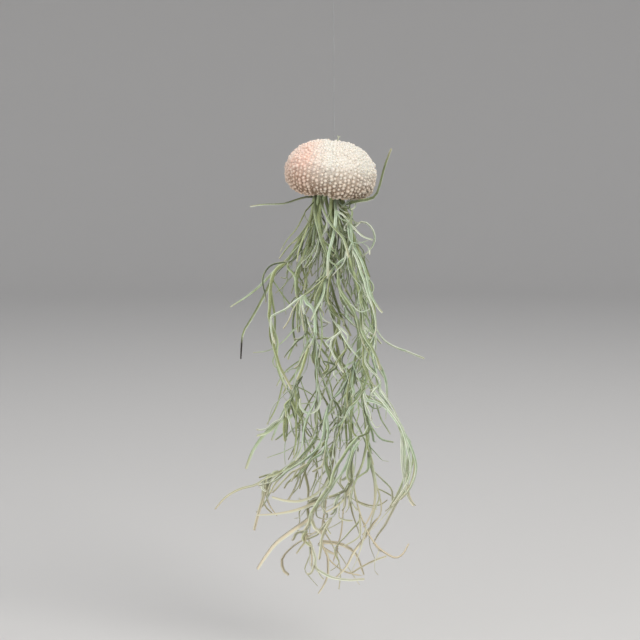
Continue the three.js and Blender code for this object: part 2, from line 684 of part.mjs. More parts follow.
function growLeaves(stems) {
  const rods = [];
  stems.forEach((stem) => addRods(rods, stem.name, stem));
  TRACED_LEAVES.forEach(([name, route]) => {
    const stem = stems.find((one) => one.name === name);
    const leaf = tracedLeaf(stem, route);
    stem.leaves.push(leaf);
    addRods(rods, name, leaf);
  });
  stems.forEach((stem, number) => {
    const random = seededRandom(number + 1);
    stemNodes(stem).forEach(({ root, along }, node) => {
      const sideTurn = number * STEM_TURN + node * NODE_TURN;
      for (let tries = 0; tries < LEAF_TRIES; tries += 1) {
        const leaf = drawnLeaf(root, along, sideTurn, random);
        if (staysInBunch(leaf) && isClear(leaf, stem.name, rods)) {
          stem.leaves.push(leaf);
          addRods(rods, stem.name, leaf);
          break;
        }
      }
    });
  });
}

function leafyStem(stem) {
  const stalk = toSolid(taperedRod(stem.points, stem.radii, STEM_SIDES, LEAF_POINT));
  const leaves = stem.leaves.map((leaf) => {
    return toSolid(taperedRod(leaf.points, leaf.radii, LEAF_SIDES, LEAF_POINT));
  });
  return toGeometry(leaves.reduce((whole, leaf) => whole.add(leaf), stalk));
}

// ---- Assembly ----

const shellGroup = new THREE.Group();
shellGroup.position.copy(SHELL_CENTRE);
shellGroup.rotation.y = SHELL_TILT;
shellGroup.add(namedMesh('urchin_shell', urchinShell(), 0xe6cdb6, 0.75));
shellGroup.add(namedMesh('line_tie', lineTie(), 0xcfc8ae, 0.45));

const lineGroup = new THREE.Group();
lineGroup.add(namedMesh('hanging_line', hangingLine(), 0xdfe4e6, 0.15));
lineGroup.add(namedMesh('loop_knot', loopKnot(), 0xdfe4e6, 0.2));

const mossGroup = new THREE.Group();
mossGroup.position.copy(MOSS_ORIGIN);
const stems = Object.entries(STEM_ROUTES).map(([name, route]) => makeStem(name, route));
partStems(stems);
growLeaves(stems);
stems.forEach((stem) => {
  mossGroup.add(namedMesh(stem.name, leafyStem(stem), 0x8f9f78, 0.8));
});

const airPlant = new THREE.Group();
airPlant.name = 'hanging_air_plant';
airPlant.add(shellGroup, lineGroup, mossGroup);

export default airPlant;
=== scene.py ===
# A hanging air plant shaped like a jellyfish: a dried sea-urchin shell hangs, dome up, on a
# thin clear line, and a bunch of thick-leaved Spanish moss that is tied inside it trails out
# of its mouth. Metres, +Z up, +X to the right of a viewer who looks along +Y. The origin is
# the inside top of the hanging loop.

import math

import bmesh
import bpy
import numpy as np
from mathutils import Matrix, Vector


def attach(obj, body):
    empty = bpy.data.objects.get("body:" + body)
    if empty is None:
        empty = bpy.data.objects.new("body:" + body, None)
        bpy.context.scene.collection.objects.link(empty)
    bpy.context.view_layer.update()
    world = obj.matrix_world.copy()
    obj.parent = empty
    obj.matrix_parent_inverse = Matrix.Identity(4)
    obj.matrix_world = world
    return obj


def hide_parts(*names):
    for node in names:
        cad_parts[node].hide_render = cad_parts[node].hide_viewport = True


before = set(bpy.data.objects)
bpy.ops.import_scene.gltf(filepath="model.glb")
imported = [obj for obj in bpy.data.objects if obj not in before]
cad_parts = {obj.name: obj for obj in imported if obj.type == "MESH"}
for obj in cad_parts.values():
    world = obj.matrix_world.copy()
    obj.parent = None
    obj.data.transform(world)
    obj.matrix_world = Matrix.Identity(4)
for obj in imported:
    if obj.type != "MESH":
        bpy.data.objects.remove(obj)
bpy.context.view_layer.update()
bpy.ops.object.select_all(action='DESELECT')

# ---- Camera ----
# It stands a little over a metre in front of the plant, level with the shell, and looks
# slightly down at the whole bunch.

CAMERA_PLACE = (-0.0084, -1.133, -0.084)
CAMERA_PITCH = math.radians(6.1)
CAMERA_LENS = 106.26

bpy.ops.object.camera_add(
    location=CAMERA_PLACE,
    rotation=(math.pi / 2 - CAMERA_PITCH, 0, 0),
)
camera = bpy.context.object
camera.data.lens = CAMERA_LENS
camera.data.sensor_width = 36
bpy.context.scene.camera = camera
bpy.context.scene.view_settings.view_transform = 'Standard'

# ---- Hanging line and its loop ----
# One length of clear nylon monofilament. It rises from the tie inside the shell, passes
# through the top hole, turns over at the loop that goes on a hook, and ends below the knot.

MM = 0.001
SHELL_CENTRE = Vector((-2.1, 0, -116.6)) * MM
SHELL_TILT = math.radians(7)
TIE_CROWN = 17.2
LINE_DIAMETER = 0.4
LOOP_HEIGHT = 9.6
LOOP_WIDTH = 6.4
KNOT_HEIGHT = 3
LINE_PAIR_SPACING = 0.72
TOUCHING_GAP = 0.3
LINE_TINT = (0.93, 0.95, 0.95, 1)
NYLON_REFRACTION = 1.42


def smooth_line(route, spans, centripetal=False):
    """Points of a Catmull-Rom line through a route's points, in even shares of each span."""
    route = np.array(route, float)
    ends = [2 * route[0] - route[1], *route, 2 * route[-1] - route[-2]]
    points = []
    for i in range(len(route) - 1):
        p0, p1, p2, p3 = ends[i:i + 4]
        start, stop = (p2 - p0) / 2, (p3 - p1) / 2
        if centripetal:
            pairs = ((p0, p1), (p1, p2), (p2, p3))
            d0, d1, d2 = (math.sqrt(np.linalg.norm(b - a)) for a, b in pairs)
            start = ((p1 - p0) / d0 - (p2 - p0) / (d0 + d1) + (p2 - p1) / d1) * d1
            stop = ((p2 - p1) / d1 - (p3 - p1) / (d1 + d2) + (p3 - p2) / d2) * d1
        for t in np.arange(spans) / spans:
            bend = (3 * (p2 - p1) - 2 * start - stop) + (2 * (p1 - p2) + start + stop) * t
            points.append(p1 + start * t + bend * t * t)
    points.append(route[-1])
    return np.array(points)


def line_route():
    """The line's route in millimetres, from the tie up, round the loop and down to its end."""
    half = LINE_PAIR_SPACING / 2
    crest = LINE_DIAMETER / 2
    knot_top = crest - LOOP_HEIGHT
    knot_bottom = knot_top - KNOT_HEIGHT
    foot = SHELL_CENTRE.z / MM + TIE_CROWN * math.cos(SHELL_TILT) + TOUCHING_GAP + crest
    wide = LOOP_WIDTH / 2
    rising = [
        (0, foot), (-0.06, foot + 14), (-0.12, foot + 28), (-0.18, foot + 42), (-0.24, foot + 56),
        (-0.3, foot + 70), (-half, knot_bottom - 1), (-half, knot_top + 0.8),
    ]
    left_half = [(-0.5 * wide, knot_top + 2.9), (-wide, knot_top + 5.6), (-0.75 * wide, knot_top + 8.3)]
    right_half = [(-x, z) for x, z in reversed(left_half)]
    falling = [(half, knot_top + 0.8), (half, knot_bottom - 1.4)]
    return [(x, 0, z) for x, z in [*rising, *left_half, (0, crest), *right_half, *falling]]


def thread(name, points, radius, sides=2):
    """A round thread along a row of points, as a curve with a bevel."""
    bpy.ops.curve.primitive_nurbs_path_add(location=(0, 0, 0))
    piece = bpy.context.object
    piece.name = name
    piece.data.splines.clear()
    spline = piece.data.splines.new('POLY')
    spline.points.add(len(points) - 1)
    for spot, point in zip(spline.points, points):
        spot.co = (*point, 1)
    piece.data.dimensions = '3D'
    piece.data.bevel_depth = radius
    piece.data.bevel_resolution = sides
    piece.data.use_fill_caps = True
    return piece


def as_mesh(piece):
    """A curve piece made a mesh, smooth all over."""
    bpy.ops.object.select_all(action='DESELECT')
    piece.select_set(True)
    bpy.context.view_layer.objects.active = piece
    bpy.ops.object.convert(target='MESH')
    bpy.ops.object.shade_smooth()
    piece.select_set(False)
    return piece


class Finish:
    """A material of nodes. A socket is given a number, a colour or another node's output."""

    def __init__(self, name):
        self.material = bpy.data.materials.new(name)
        self.material.use_nodes = True
        self.tree = self.material.node_tree

    def fill(self, sockets, values):
        for name, value in values.items():
            if isinstance(value, bpy.types.NodeSocket):
                self.tree.links.new(value, sockets[name])
            else:
                sockets[name].default_value = value

    def surface(self, values):
        self.fill(self.tree.nodes["Principled BSDF"].inputs, values)

    def add(self, kind, values, **settings):
        made = self.tree.nodes.new(kind)
        for name, value in settings.items():
            setattr(made, name, value)
        self.fill(made.inputs, values)
        return made

    def value(self, name):
        """A value that the mesh keeps for each of its points."""
        return self.add("ShaderNodeAttribute", {}, attribute_name=name).outputs["Fac"]

    def math(self, operation, *values):
        return self.add("ShaderNodeMath", dict(enumerate(values)), operation=operation).outputs[0]

    def times(self, first, second):
        return self.math('MULTIPLY', first, second)

    def spread(self, value, low, high, low_gives=0.0, high_gives=1.0):
        """Turns a value's range into another, smoothly and held at both ends."""
        values = {
            "Value": value, "From Min": low, "From Max": high,
            "To Min": low_gives, "To Max": high_gives,
        }
        made = self.add("ShaderNodeMapRange", values, interpolation_type='SMOOTHSTEP')
        return made.outputs["Result"]

    def mixed(self, share, first, second):
        values = {0: share, 6: first, 7: second}
        return self.add("ShaderNodeMix", values, data_type='RGBA', blend_type='MIX').outputs[2]

    def noise(self, size, detail=3.0):
        """Soft clouds whose patches are about a size in millimetres."""
        place = self.add("ShaderNodeTexCoord", {}).outputs["Object"]
        values = {"Vector": place, "Scale": 1 / (size * MM), "Detail": detail, "Roughness": 0.55}
        return self.add("ShaderNodeTexNoise", values).outputs["Fac"]

    def bumped(self, height, depth, strength, before=None):
        values = {"Height": height, "Distance": depth * MM, "Strength": strength}
        if before is not None:
            values["Normal"] = before
        return self.add("ShaderNodeBump", values).outputs["Normal"]


def clear_nylon(name, tint, clearness, roughness):
    finish = Finish(name)
    finish.surface({
        "Base Color": tint, "Transmission Weight": clearness, "Roughness": roughness,
        "IOR": NYLON_REFRACTION,
    })
    return finish.material


line_points = smooth_line(line_route(), 12, centripetal=True) * MM
hanging_line = thread("hanging_line_clear", line_points, LINE_DIAMETER / 2 * MM)
hanging_line.data.materials.append(clear_nylon("clear_line", LINE_TINT, 1.0, 0.03))

# The knot is the same line wound round both runs: a tight layer of turns up, and a second
# layer of turns back down over it.

KNOT_INNER_TURNS = 7
KNOT_OUTER_TURNS = 6
KNOT_INNER_REACH = 0.42
KNOT_OUTER_REACH = 0.8
KNOT_STEPS = 22  # straight pieces in a turn
KNOT_INNER_MARGIN = 0.2  # how far the turns stay inside the knot's ends
KNOT_OUTER_MARGIN = 0.35
KNOT_CROSSING = 3  # how sharply a turn passes from one run of line to the other

knot_top = LINE_DIAMETER / 2 - LOOP_HEIGHT
knot_bottom = knot_top - KNOT_HEIGHT
knot_route = []
for turns, reach, low, high in (
    (KNOT_INNER_TURNS, KNOT_INNER_REACH, knot_bottom + KNOT_INNER_MARGIN, knot_top - KNOT_INNER_MARGIN),
    (KNOT_OUTER_TURNS, KNOT_OUTER_REACH, knot_top - KNOT_OUTER_MARGIN, knot_bottom + KNOT_OUTER_MARGIN),
):
    for i in range(turns * KNOT_STEPS):
        turn = 2 * math.pi * i / KNOT_STEPS
        spread = LINE_PAIR_SPACING / 2 * math.tanh(KNOT_CROSSING * math.cos(turn))
        height = low + (high - low) * i / (turns * KNOT_STEPS)
        knot_route.append((spread + reach * math.cos(turn), reach * math.sin(turn), height))
loop_knot = as_mesh(thread("loop_knot_wound", np.array(knot_route) * MM, LINE_DIAMETER / 2 * MM, 1))
loop_knot.data.materials.append(clear_nylon("clear_line_knot", LINE_TINT, 0.6, 0.2))

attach(hanging_line, "root")
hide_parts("hanging_line")
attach(loop_knot, "root")
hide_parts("loop_knot")

# ---- Tie ----
# The line's lower end, wound tightly round the gathered stem tops inside the shell and then
# in a flat coil over them. It is wider than the top hole, so the shell rests on it. Two cut
# ends stand up together through the hole.

TIE_RADIUS = 9.1
TIE_BOTTOM = 10.6
TIE_SHOULDER = 16.3
TIE_PITCH = 0.41
TIE_LINE_RADIUS = 0.22
TIE_STEPS = 40  # straight pieces in a turn
TIE_COIL_END = 0.7  # radius at which the flat coil ends and the last turns rise
TIE_LAST_TURNS = 3
TIE_LAST_RADIUS = 0.5
TIE_TINT = (0.72, 0.7, 0.6, 1)
TIE_DOME = [(0, TIE_CROWN), (4.6, 17.0), (8.2, TIE_SHOULDER), (TIE_RADIUS, 15.3)]
TAIL_FOOT = (1.6, 0, 16.9)
TAIL_TIP = (2.2, 0, 22.6)
TAIL_COLOUR = (0.6, 0.63, 0.44, 1)
TAIL_RADIUS = 0.22
TAIL_STEPS = 24
TAIL_TWIST = 7  # radians
TAIL_PARTS_AT = 0.72  # share of the height at which the ends part
TAIL_ENDS = [(-1, 1.0, -0.75), (1, 0.96, 0.85)]  # side, share of the height, lean of the tip

shell_place = (
    Matrix.Translation(SHELL_CENTRE) @ Matrix.Rotation(SHELL_TILT, 4, 'Y') @ Matrix.Scale(MM, 4)
)


def wound_tie():
    """The tie's route in the shell's frame: up the side in close turns, then in to the middle."""
    reach = TIE_RADIUS - TIE_LINE_RADIUS
    dome_radii, dome_heights = np.array(TIE_DOME).T
    route = []
    side_turns = (TIE_DOME[-1][1] - TIE_BOTTOM - TIE_LINE_RADIUS) / TIE_PITCH
    for i in range(round(side_turns * TIE_STEPS)):
        turn = 2 * math.pi * i / TIE_STEPS
        height = TIE_BOTTOM + TIE_LINE_RADIUS + TIE_PITCH * i / TIE_STEPS
        route.append((reach * math.cos(turn), reach * math.sin(turn), height))
    radius = reach
    while radius > TIE_COIL_END:
        turn = 2 * math.pi * len(route) / TIE_STEPS
        height = np.interp(radius + TIE_LINE_RADIUS, dome_radii, dome_heights) - TIE_LINE_RADIUS
        route.append((radius * math.cos(turn), radius * math.sin(turn), height))
        radius -= TIE_PITCH / TIE_STEPS
    for i in range(TIE_LAST_TURNS * TIE_STEPS):
        turn = 2 * math.pi * len(route) / TIE_STEPS
        height = TIE_CROWN - TIE_LINE_RADIUS + TIE_PITCH * i / TIE_STEPS
        route.append((TIE_LAST_RADIUS * math.cos(turn), TIE_LAST_RADIUS * math.sin(turn), height))
    return route


tie_route = [shell_place @ Vector(point) for point in wound_tie()]
line_tie = as_mesh(thread("line_tie_wound", tie_route, TIE_LINE_RADIUS * MM, 1))
line_tie.data.materials.append(clear_nylon("tie_line", TIE_TINT, 0.3, 0.25))
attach(line_tie, "root")
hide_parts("line_tie")

tail_axis = Vector(TAIL_TIP) - Vector(TAIL_FOOT)
for number, (side, height, lean) in enumerate(TAIL_ENDS, 1):
    tail_route = []
    for share in np.linspace(0, 1, TAIL_STEPS + 1):
        twist = TAIL_TWIST * share + (math.pi if side > 0 else 0)
        parting = max(0, share - TAIL_PARTS_AT) / (1 - TAIL_PARTS_AT)
        spot = Vector(TAIL_FOOT) + tail_axis * share * height
        spot.x += TAIL_RADIUS * math.cos(twist) * (1 - parting) + lean * parting ** 1.5
        spot.y += TAIL_RADIUS * math.sin(twist) * (1 - parting)
        tail_route.append(shell_place @ spot)
    line_end = as_mesh(thread(f"line_end_{number}", tail_route, TAIL_RADIUS * MM, 1))
    line_end.data.materials.append(clear_nylon(f"straw_line_{number}", TAIL_COLOUR, 0.05, 0.5))
    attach(line_end, "root")

# ---- Urchin shell ----
# The dried, cleaned skeleton of a sea urchin: a hollow ball of lime with a wide mouth below
# and a small hole on top. Five narrow bands, each edged with pairs of pores, run from hole to
# mouth between five wide ones.

SHELL_PROFILE = [  # radius and height, from the mouth round the girth to the top hole
    (10.8, -10.9), (12.6, -12.3), (15.5, -12.6), (18.7, -12.1), (22.1, -10.5),
    (24.5, -8.1), (26.0, -5.1), (26.5, -1.5), (26.3, 2.4), (25.1, 6.3),
    (22.5, 10.5), (18.4, 14.4), (12.9, 17.1), (7.6, 18.5), (3.5, 19.1),
]
SHELL_WALL = 1.2
SHELL_COLUMNS = 240
SHELL_RINGS = 88
INNER_EVERY = 4  # the inside has every fourth ring of the outside
RIM_TURNS = (45, 90, 135)  # degrees round a rim's rounded edge
SLOPE_REACH = 0.4
BAND_SECTOR = math.radians(72)
NARROW_BAND_MIDDLE = math.radians(256)
NARROW_BAND_HALF = math.radians(12.4)
PORE_LINE = math.radians(11.6)
PINK_SIDE = math.radians(190)
PINK_REACH = (3, 21)  # how far towards the pink side the pink starts, and where it is full
PALE_BAND = 0.3  # how much less pink the narrow bands are
LEAST_PINK = 0.1  # of the wide bands on the other side
BAND_BLEND = math.radians(9)
TAN_AND_SHADE_HEIGHTS = (6, -11)  # the shell gets tanned and dusty between these, with painted shade on its underside
BAND_SWELL = 0.22  # how far the wide bands stand out at the girth
SWELL_RADII = (8, 22)
LOBE_RISE = 0.9  # and how far they bulge round the mouth
LOBE_HEIGHTS = (-4, -11)
LOBE_FADE = 2.5  # from the mouth's rim
ARC_SAMPLES = 400
POINTS_AT_ONCE = 4000

profile_line = smooth_line(SHELL_PROFILE, 12)
profile_arc = np.concatenate([[0], np.cumsum(np.linalg.norm(np.diff(profile_line, axis=0), axis=1))])
profile_length = profile_arc[-1]


def profile_at(arc):
    """Radius, height and outward direction of the shell's outline at a distance from the mouth."""
    radius = np.interp(arc, profile_arc, profile_line[:, 0])
    height = np.interp(arc, profile_arc, profile_line[:, 1])
    ends = np.minimum(arc + SLOPE_REACH, profile_length), np.maximum(arc - SLOPE_REACH, 0)
    across, rise = (
        np.interp(ends[0], profile_arc, column) - np.interp(ends[1], profile_arc, column)
        for column in profile_line.T
    )
    size = np.hypot(across, rise)
    return radius, height, rise / size, -across / size


def share_between(value, start, end):
    """How far a value has come from the start of a range to its end, held at both."""
    return np.clip((value - start) / (end - start), 0, 1)


def eased(share):
    return share * share * (3 - 2 * share)


def band_fold(angle):
    """Angle from the middle of the nearest narrow band, from 0 to half a sector."""
    return np.abs((angle - NARROW_BAND_MIDDLE + BAND_SECTOR / 2) % BAND_SECTOR - BAND_SECTOR / 2)


def band_swell(angle, arc):
    """How far the wall stands out in the wide bands; nothing at the mouth's rim and the top."""
    radius, height, *_ = profile_at(arc)
    wide = 0.5 - 0.5 * np.cos(2 * math.pi * band_fold(angle) / BAND_SECTOR)
    lobe = LOBE_RISE * eased(share_between(height, *LOBE_HEIGHTS)) * share_between(arc, 0, LOBE_FADE)
    return wide * (BAND_SWELL * share_between(radius, *SWELL_RADII) + lobe)


def rounded_rim(first, last, edge):
    """The wall's rounded edge from its first side to its last. It points from the second of a
    pair of places to the first."""
    ahead = (edge[0] - edge[1]) / np.linalg.norm(edge[0] - edge[1])
    middle = (first + last) / 2
    return [
        middle + (first - middle) * math.cos(turn) + ahead * SHELL_WALL / 2 * math.sin(turn)
        for turn in np.radians(RIM_TURNS)
    ]


def wall_section():
    """The wall cut along the axis: the outside, the rounded top rim, the inside, the mouth's rim."""
    arcs = np.linspace(0, profile_length, SHELL_RINGS)
    radius, height, out_x, out_z = profile_at(arcs)
    outside = np.stack([radius, height], 1)
    inside = outside - SHELL_WALL * np.stack([out_x, out_z], 1)
    inside = np.concatenate([inside[::INNER_EVERY], inside[-1:]])
    top_rim = rounded_rim(outside[-1], inside[-1], (outside[-1], outside[-2]))
    mouth_rim = rounded_rim(inside[0], outside[0], (outside[0], outside[1]))
    return [*outside, *top_rim, *inside[::-1], *mouth_rim]


section = wall_section()
bpy.ops.mesh.primitive_circle_add(vertices=len(section), radius=1, fill_type='NOTHING')
shell_wall = bpy.context.object
shell_wall.name = "urchin_shell_wall"
for vertex, (radius, height) in zip(shell_wall.data.vertices, section):
    vertex.co = (radius, 0, height)
bpy.ops.object.mode_set(mode='EDIT')
bpy.ops.mesh.select_all(action='SELECT')
bpy.ops.mesh.spin(
    steps=SHELL_COLUMNS, angle=2 * math.pi, center=(0, 0, 0), axis=(0, 0, 1), use_auto_merge=True,
)
bpy.ops.mesh.select_all(action='SELECT')
bpy.ops.mesh.remove_doubles(threshold=0.001)
bpy.ops.mesh.normals_make_consistent(inside=False)
bpy.ops.object.mode_set(mode='OBJECT')
bpy.ops.object.shade_smooth()


def mesh_points(mesh):
    """The places of a mesh's points, as rows of three."""
    points = np.zeros(len(mesh.vertices) * 3)
    mesh.vertices.foreach_get("co", points)
    return points.reshape(-1, 3)


def keep_values(mesh, **values):
    """Saves a value for each point of a mesh, under the names that its finish reads."""
    for name, numbers in values.items():
        layer = mesh.attributes.new(name, 'FLOAT', 'POINT')
        layer.data.foreach_set("value", np.asarray(numbers, np.float32))


def shell_values(points):
    """Place of each point on the shell: arc from the mouth, distance from the pore line and
    from the bands' middle lines, share of pink, and how far down it is."""
    angle = np.arctan2(points[:, 1], points[:, 0])
    radius = np.hypot(points[:, 0], points[:, 1])
    fold = band_fold(angle)
    fine_arcs = np.linspace(0, profile_length, ARC_SAMPLES)
    fine_radius, fine_height, *_ = profile_at(fine_arcs)
    arc = np.zeros(len(points))
    for start in range(0, len(points), POINTS_AT_ONCE):
        part = slice(start, start + POINTS_AT_ONCE)
        height = points[part, 2][:, None]
        away = (radius[part, None] - fine_radius) ** 2 + (height - fine_height) ** 2
        arc[part] = fine_arcs[np.argmin(away, axis=1)]
    towards_pink = points[:, 0] * math.cos(PINK_SIDE) + points[:, 1] * math.sin(PINK_SIDE)
    pink = eased(share_between(towards_pink, *PINK_REACH))
    wide = share_between(fold - NARROW_BAND_HALF, 0, BAND_BLEND)
    return {
        "arc": arc,
        "pore_away": (fold - PORE_LINE) * radius,
        "wide_away": (BAND_SECTOR / 2 - fold) * radius,
        "narrow_away": fold * radius,
        "pink": np.maximum(pink * (1 - PALE_BAND + PALE_BAND * wide), LEAST_PINK * wide),
        "low": share_between(points[:, 2], *TAN_AND_SHADE_HEIGHTS),
    }


wall_points = mesh_points(shell_wall.data)
wall_values = shell_values(wall_points)
wall_angle = np.arctan2(wall_points[:, 1], wall_points[:, 0])
_, _, out_x, out_z = profile_at(wall_values["arc"])
swell = band_swell(wall_angle, wall_values["arc"])
wall_outward = np.stack([np.cos(wall_angle) * out_x, np.sin(wall_angle) * out_x, out_z], 1)
wall_points += wall_outward * swell[:, None]
keep_values(shell_wall.data, **wall_values)
shell_wall.data.vertices.foreach_set("co", wall_points.ravel())
shell_wall.data.transform(shell_place)

# The tubercles are the rounded knobs that the spines sat on. A row of them crosses each plate,
# smaller knobs fill the gaps, and all get finer towards the top and the mouth.

TUBERCLE_SIDES = 9
TUBERCLE_LEVELS = [  # radius and height of its rings
    (0.99, 0.1), (0.9, 0.34), (0.76, 0.54), (0.6, 0.72), (0.42, 0.84), (0.18, 0.9),
]
KNOB_TOP = TUBERCLE_LEVELS[-1][1]
SMALL_KNOB_SIDES = 6
SMALL_KNOB_LEVELS = [(0.85, 0.12), (0.62, 0.45), (0.28, 0.62)]
KNOB_FOOT = -0.2  # both kinds start below the wall's skin
KNOB_SINK = 0.25  # and are set this deep in it
KNOB_SEED = 11
ROW_SPACING = 2.2
ROW_SPACING_TOP = 1.75
FIRST_ROW = 1.3  # from the mouth's rim
LAST_ROW = 0.9  # from the top hole's
TOP_HEIGHTS = (2, 16)  # between these heights the rows reach the top's fineness
MOUTH_REACH = 5
FINER_TOP = 0.22
FINER_MOUTH = 0.2
CLOSER_TOP = 0.3
CLOSER_MOUTH = 0.25
HALF_BANDS = [  # two angles from a narrow band's middle, knob spacing, stagger, share of size
    (NARROW_BAND_HALF, BAND_SECTOR / 2, 2.75, 0.34, 1),
    (0, PORE_LINE - math.radians(1), 2.6, 0.4, 0.9),
]
KNOB_RADIUS = 1.4
KNOB_SIZES = (0.62, 1.15)
KNOB_WIDEST = 0.68  # share of its room
KNOB_STRETCHES = (0.9, 1.5)
KNOB_MARGIN = 0.7  # left free at both rims
ROW_SCATTER = 0.28  # how far knobs stray from their rows
SMALL_SIZES = (0.22, 0.42)  # share of the knob beside
SMALL_STRETCH = 1.8
SMALL_MARGIN = 0.6
SMALL_SCATTER = 0.12
SMALL_LEFT_OUT = 0.5


def extrude_to(extrude, level, next_level):
    """Extrudes what is selected up to the next radius and height."""
    extrude(TRANSFORM_OT_translate={"value": (0, 0, next_level[1] - level[1])})
    growth = next_level[0] / level[0]
    bpy.ops.transform.resize(value=(growth, growth, 1), center_override=(0, 0, 0))


def knob_blank(sides, levels):
    """A knob of unit radius: each level is an extrusion to a height, then scaled to a radius."""
    bpy.ops.mesh.primitive_circle_add(
        vertices=sides, radius=1, fill_type='NGON', location=(0, 0, KNOB_FOOT),
    )
    bpy.ops.object.transform_apply(location=True, rotation=False, scale=False)
    blank = bpy.context.object
    bpy.ops.object.mode_set(mode='EDIT')
    bpy.ops.mesh.select_all(action='SELECT')
    for level, next_level in zip([(1, KNOB_FOOT), *levels], levels):
        extrude_to(bpy.ops.mesh.extrude_region_move, level, next_level)
    bpy.ops.mesh.select_all(action='SELECT')
    bpy.ops.mesh.normals_make_consistent(inside=False)
    bpy.ops.object.mode_set(mode='OBJECT')
    points = mesh_points(blank.data)
    faces = [tuple(face.vertices) for face in blank.data.polygons]
    bpy.data.objects.remove(blank)
    return points, faces


def joined(copies):
    """The points and the faces of several copies, each as one list."""
    faces = []
    first = 0
    for points, copy_faces in copies:
        faces.extend(tuple(corner + first for corner in face) for face in copy_faces)
        first += len(points)
    return np.concatenate([points for points, _ in copies]), faces


def mesh_piece(name, points, faces, values):
    """A smooth piece from points, faces and the values that its finish reads."""
    mesh = bpy.data.meshes.new(name)
    mesh.from_pydata(np.asarray(points).tolist(), [], faces)
    keep_values(mesh, **values)
    piece = bpy.data.objects.new(name, mesh)
    bpy.context.scene.collection.objects.link(piece)
    bpy.context.view_layer.objects.active = piece
    piece.select_set(True)
    bpy.ops.object.shade_smooth()
    piece.select_set(False)
    return piece


tubercle_blank = knob_blank(TUBERCLE_SIDES, TUBERCLE_LEVELS)
small_blank = knob_blank(SMALL_KNOB_SIDES, SMALL_KNOB_LEVELS)
knobs = []
knob_heights = []
random = np.random.default_rng(KNOB_SEED)


def set_knob(blank, arc, angle, size, stretch):
    """Sets a copy of a knob on the shell's wall, square to it."""
    radius, height, out_x, out_z = profile_at(arc)
    turned = np.array((math.cos(angle), math.sin(angle), 0))
    beside = np.array((-math.sin(angle), math.cos(angle), 0))
    out = turned * out_x + np.array((0, 0, out_z))
    upward = np.cross(out, beside)
    spot = turned * radius + np.array((0, 0, height)) + out * (band_swell(angle, arc) - KNOB_SINK)
    points, faces = blank
    flat = np.outer(points[:, 0], beside) + np.outer(points[:, 1], upward)
    placed = spot + size * (flat + np.outer(points[:, 2] * stretch, out))
    knobs.append((placed, faces))
    knob_heights.append(np.clip(points[:, 2] / KNOB_TOP, 0, 1))


def set_row(row, middle, side, half_band):
    """Sets a row of knobs across half a band, and small ones in the gaps above it."""
    arc, spacing, towards_top, near_mouth = row
    inner_edge, outer_edge, pitch, stagger, size_share = half_band
    radius = profile_at(arc)[0]
    width = radius * (outer_edge - inner_edge)
    pitch *= 1 - CLOSER_TOP * towards_top - CLOSER_MOUTH * near_mouth
    fineness = 1 - FINER_TOP * towards_top - FINER_MOUTH * near_mouth
    count = max(1, round(width / pitch))
    for k in range(count):
        lift = spacing * (0.5 * (side > 0) + stagger * k)
        place = arc + lift % spacing - spacing / 2 + random.normal(0, ROW_SCATTER)
        if not KNOB_MARGIN < place < profile_length - KNOB_MARGIN:
            continue
        fold = inner_edge + (outer_edge - inner_edge) * (k + 0.5) / count
        angle = middle + side * fold + random.normal(0, ROW_SCATTER) / radius
        size = KNOB_RADIUS * fineness * size_share * random.uniform(*KNOB_SIZES)
        size = min(size, KNOB_WIDEST * width / count)
        set_knob(tubercle_blank, place, angle, size, random.uniform(*KNOB_STRETCHES))
        for turn in (0, 1):
            beside = fold + (turn - 0.5) * (outer_edge - inner_edge) / count
            above = place + spacing / 2 + random.normal(0, ROW_SCATTER)
            if not SMALL_MARGIN < above < profile_length - SMALL_MARGIN:
                continue
            small_angle = middle + side * beside + random.normal(0, SMALL_SCATTER) / radius
            if turn == 1 and k < count - 1 and random.uniform() < SMALL_LEFT_OUT:
                continue
            small_size = size * random.uniform(*SMALL_SIZES)
            set_knob(small_blank, above, small_angle, small_size, SMALL_STRETCH)


arc = FIRST_ROW
while arc < profile_length - LAST_ROW:
    _, height, *_ = profile_at(arc)
    towards_top = float(share_between(height, *TOP_HEIGHTS))
    near_mouth = float(share_between(arc, MOUTH_REACH, 0))
    closeness = max(towards_top, 0.5 * near_mouth)
    spacing = ROW_SPACING + (ROW_SPACING_TOP - ROW_SPACING) * closeness
    for band in range(5):
        middle = NARROW_BAND_MIDDLE + band * BAND_SECTOR
        for side in (-1, 1):
            for half_band in HALF_BANDS:
                set_row((arc, spacing, towards_top, near_mouth), middle, side, half_band)
    arc += spacing

knob_points, knob_faces = joined(knobs)
tubercles = mesh_piece(
    "urchin_shell_tubercles",
    knob_points,
    knob_faces,
    {**shell_values(knob_points), "rise": np.concatenate(knob_heights)},
)
tubercles.data.transform(shell_place)
keep_values(shell_wall.data, rise=np.zeros(len(shell_wall.data.vertices)))


def paint(red, green, blue):
    """A colour from its screen values, 0 to 255."""
    shares = np.array((red, green, blue)) / 255
    linear = np.where(shares < 0.04045, shares / 12.92, ((shares + 0.055) / 1.055) ** 2.4)
    return (*(float(share) for share in linear), 1)


SHELL_CREAM = paint(229, 225, 214)
SHELL_PINK = paint(240, 204, 187)
SHELL_TAN = paint(186, 158, 130)
# painted shade, with some dirt, in the hollows between the knobs low on the shell
SHELL_HOLLOW_SHADE = paint(112, 86, 64)
SHELL_BEAD_HIGHLIGHT = paint(240, 231, 217)
SHELL_PORE = paint(104, 84, 66)

PORE_PAIR_HALF = 0.36  # the pores lie in pairs along their line
PORE_STEP = 0.62
PORE_RADII = (0.12, 0.26)  # of a pore's dark middle and of its soft edge

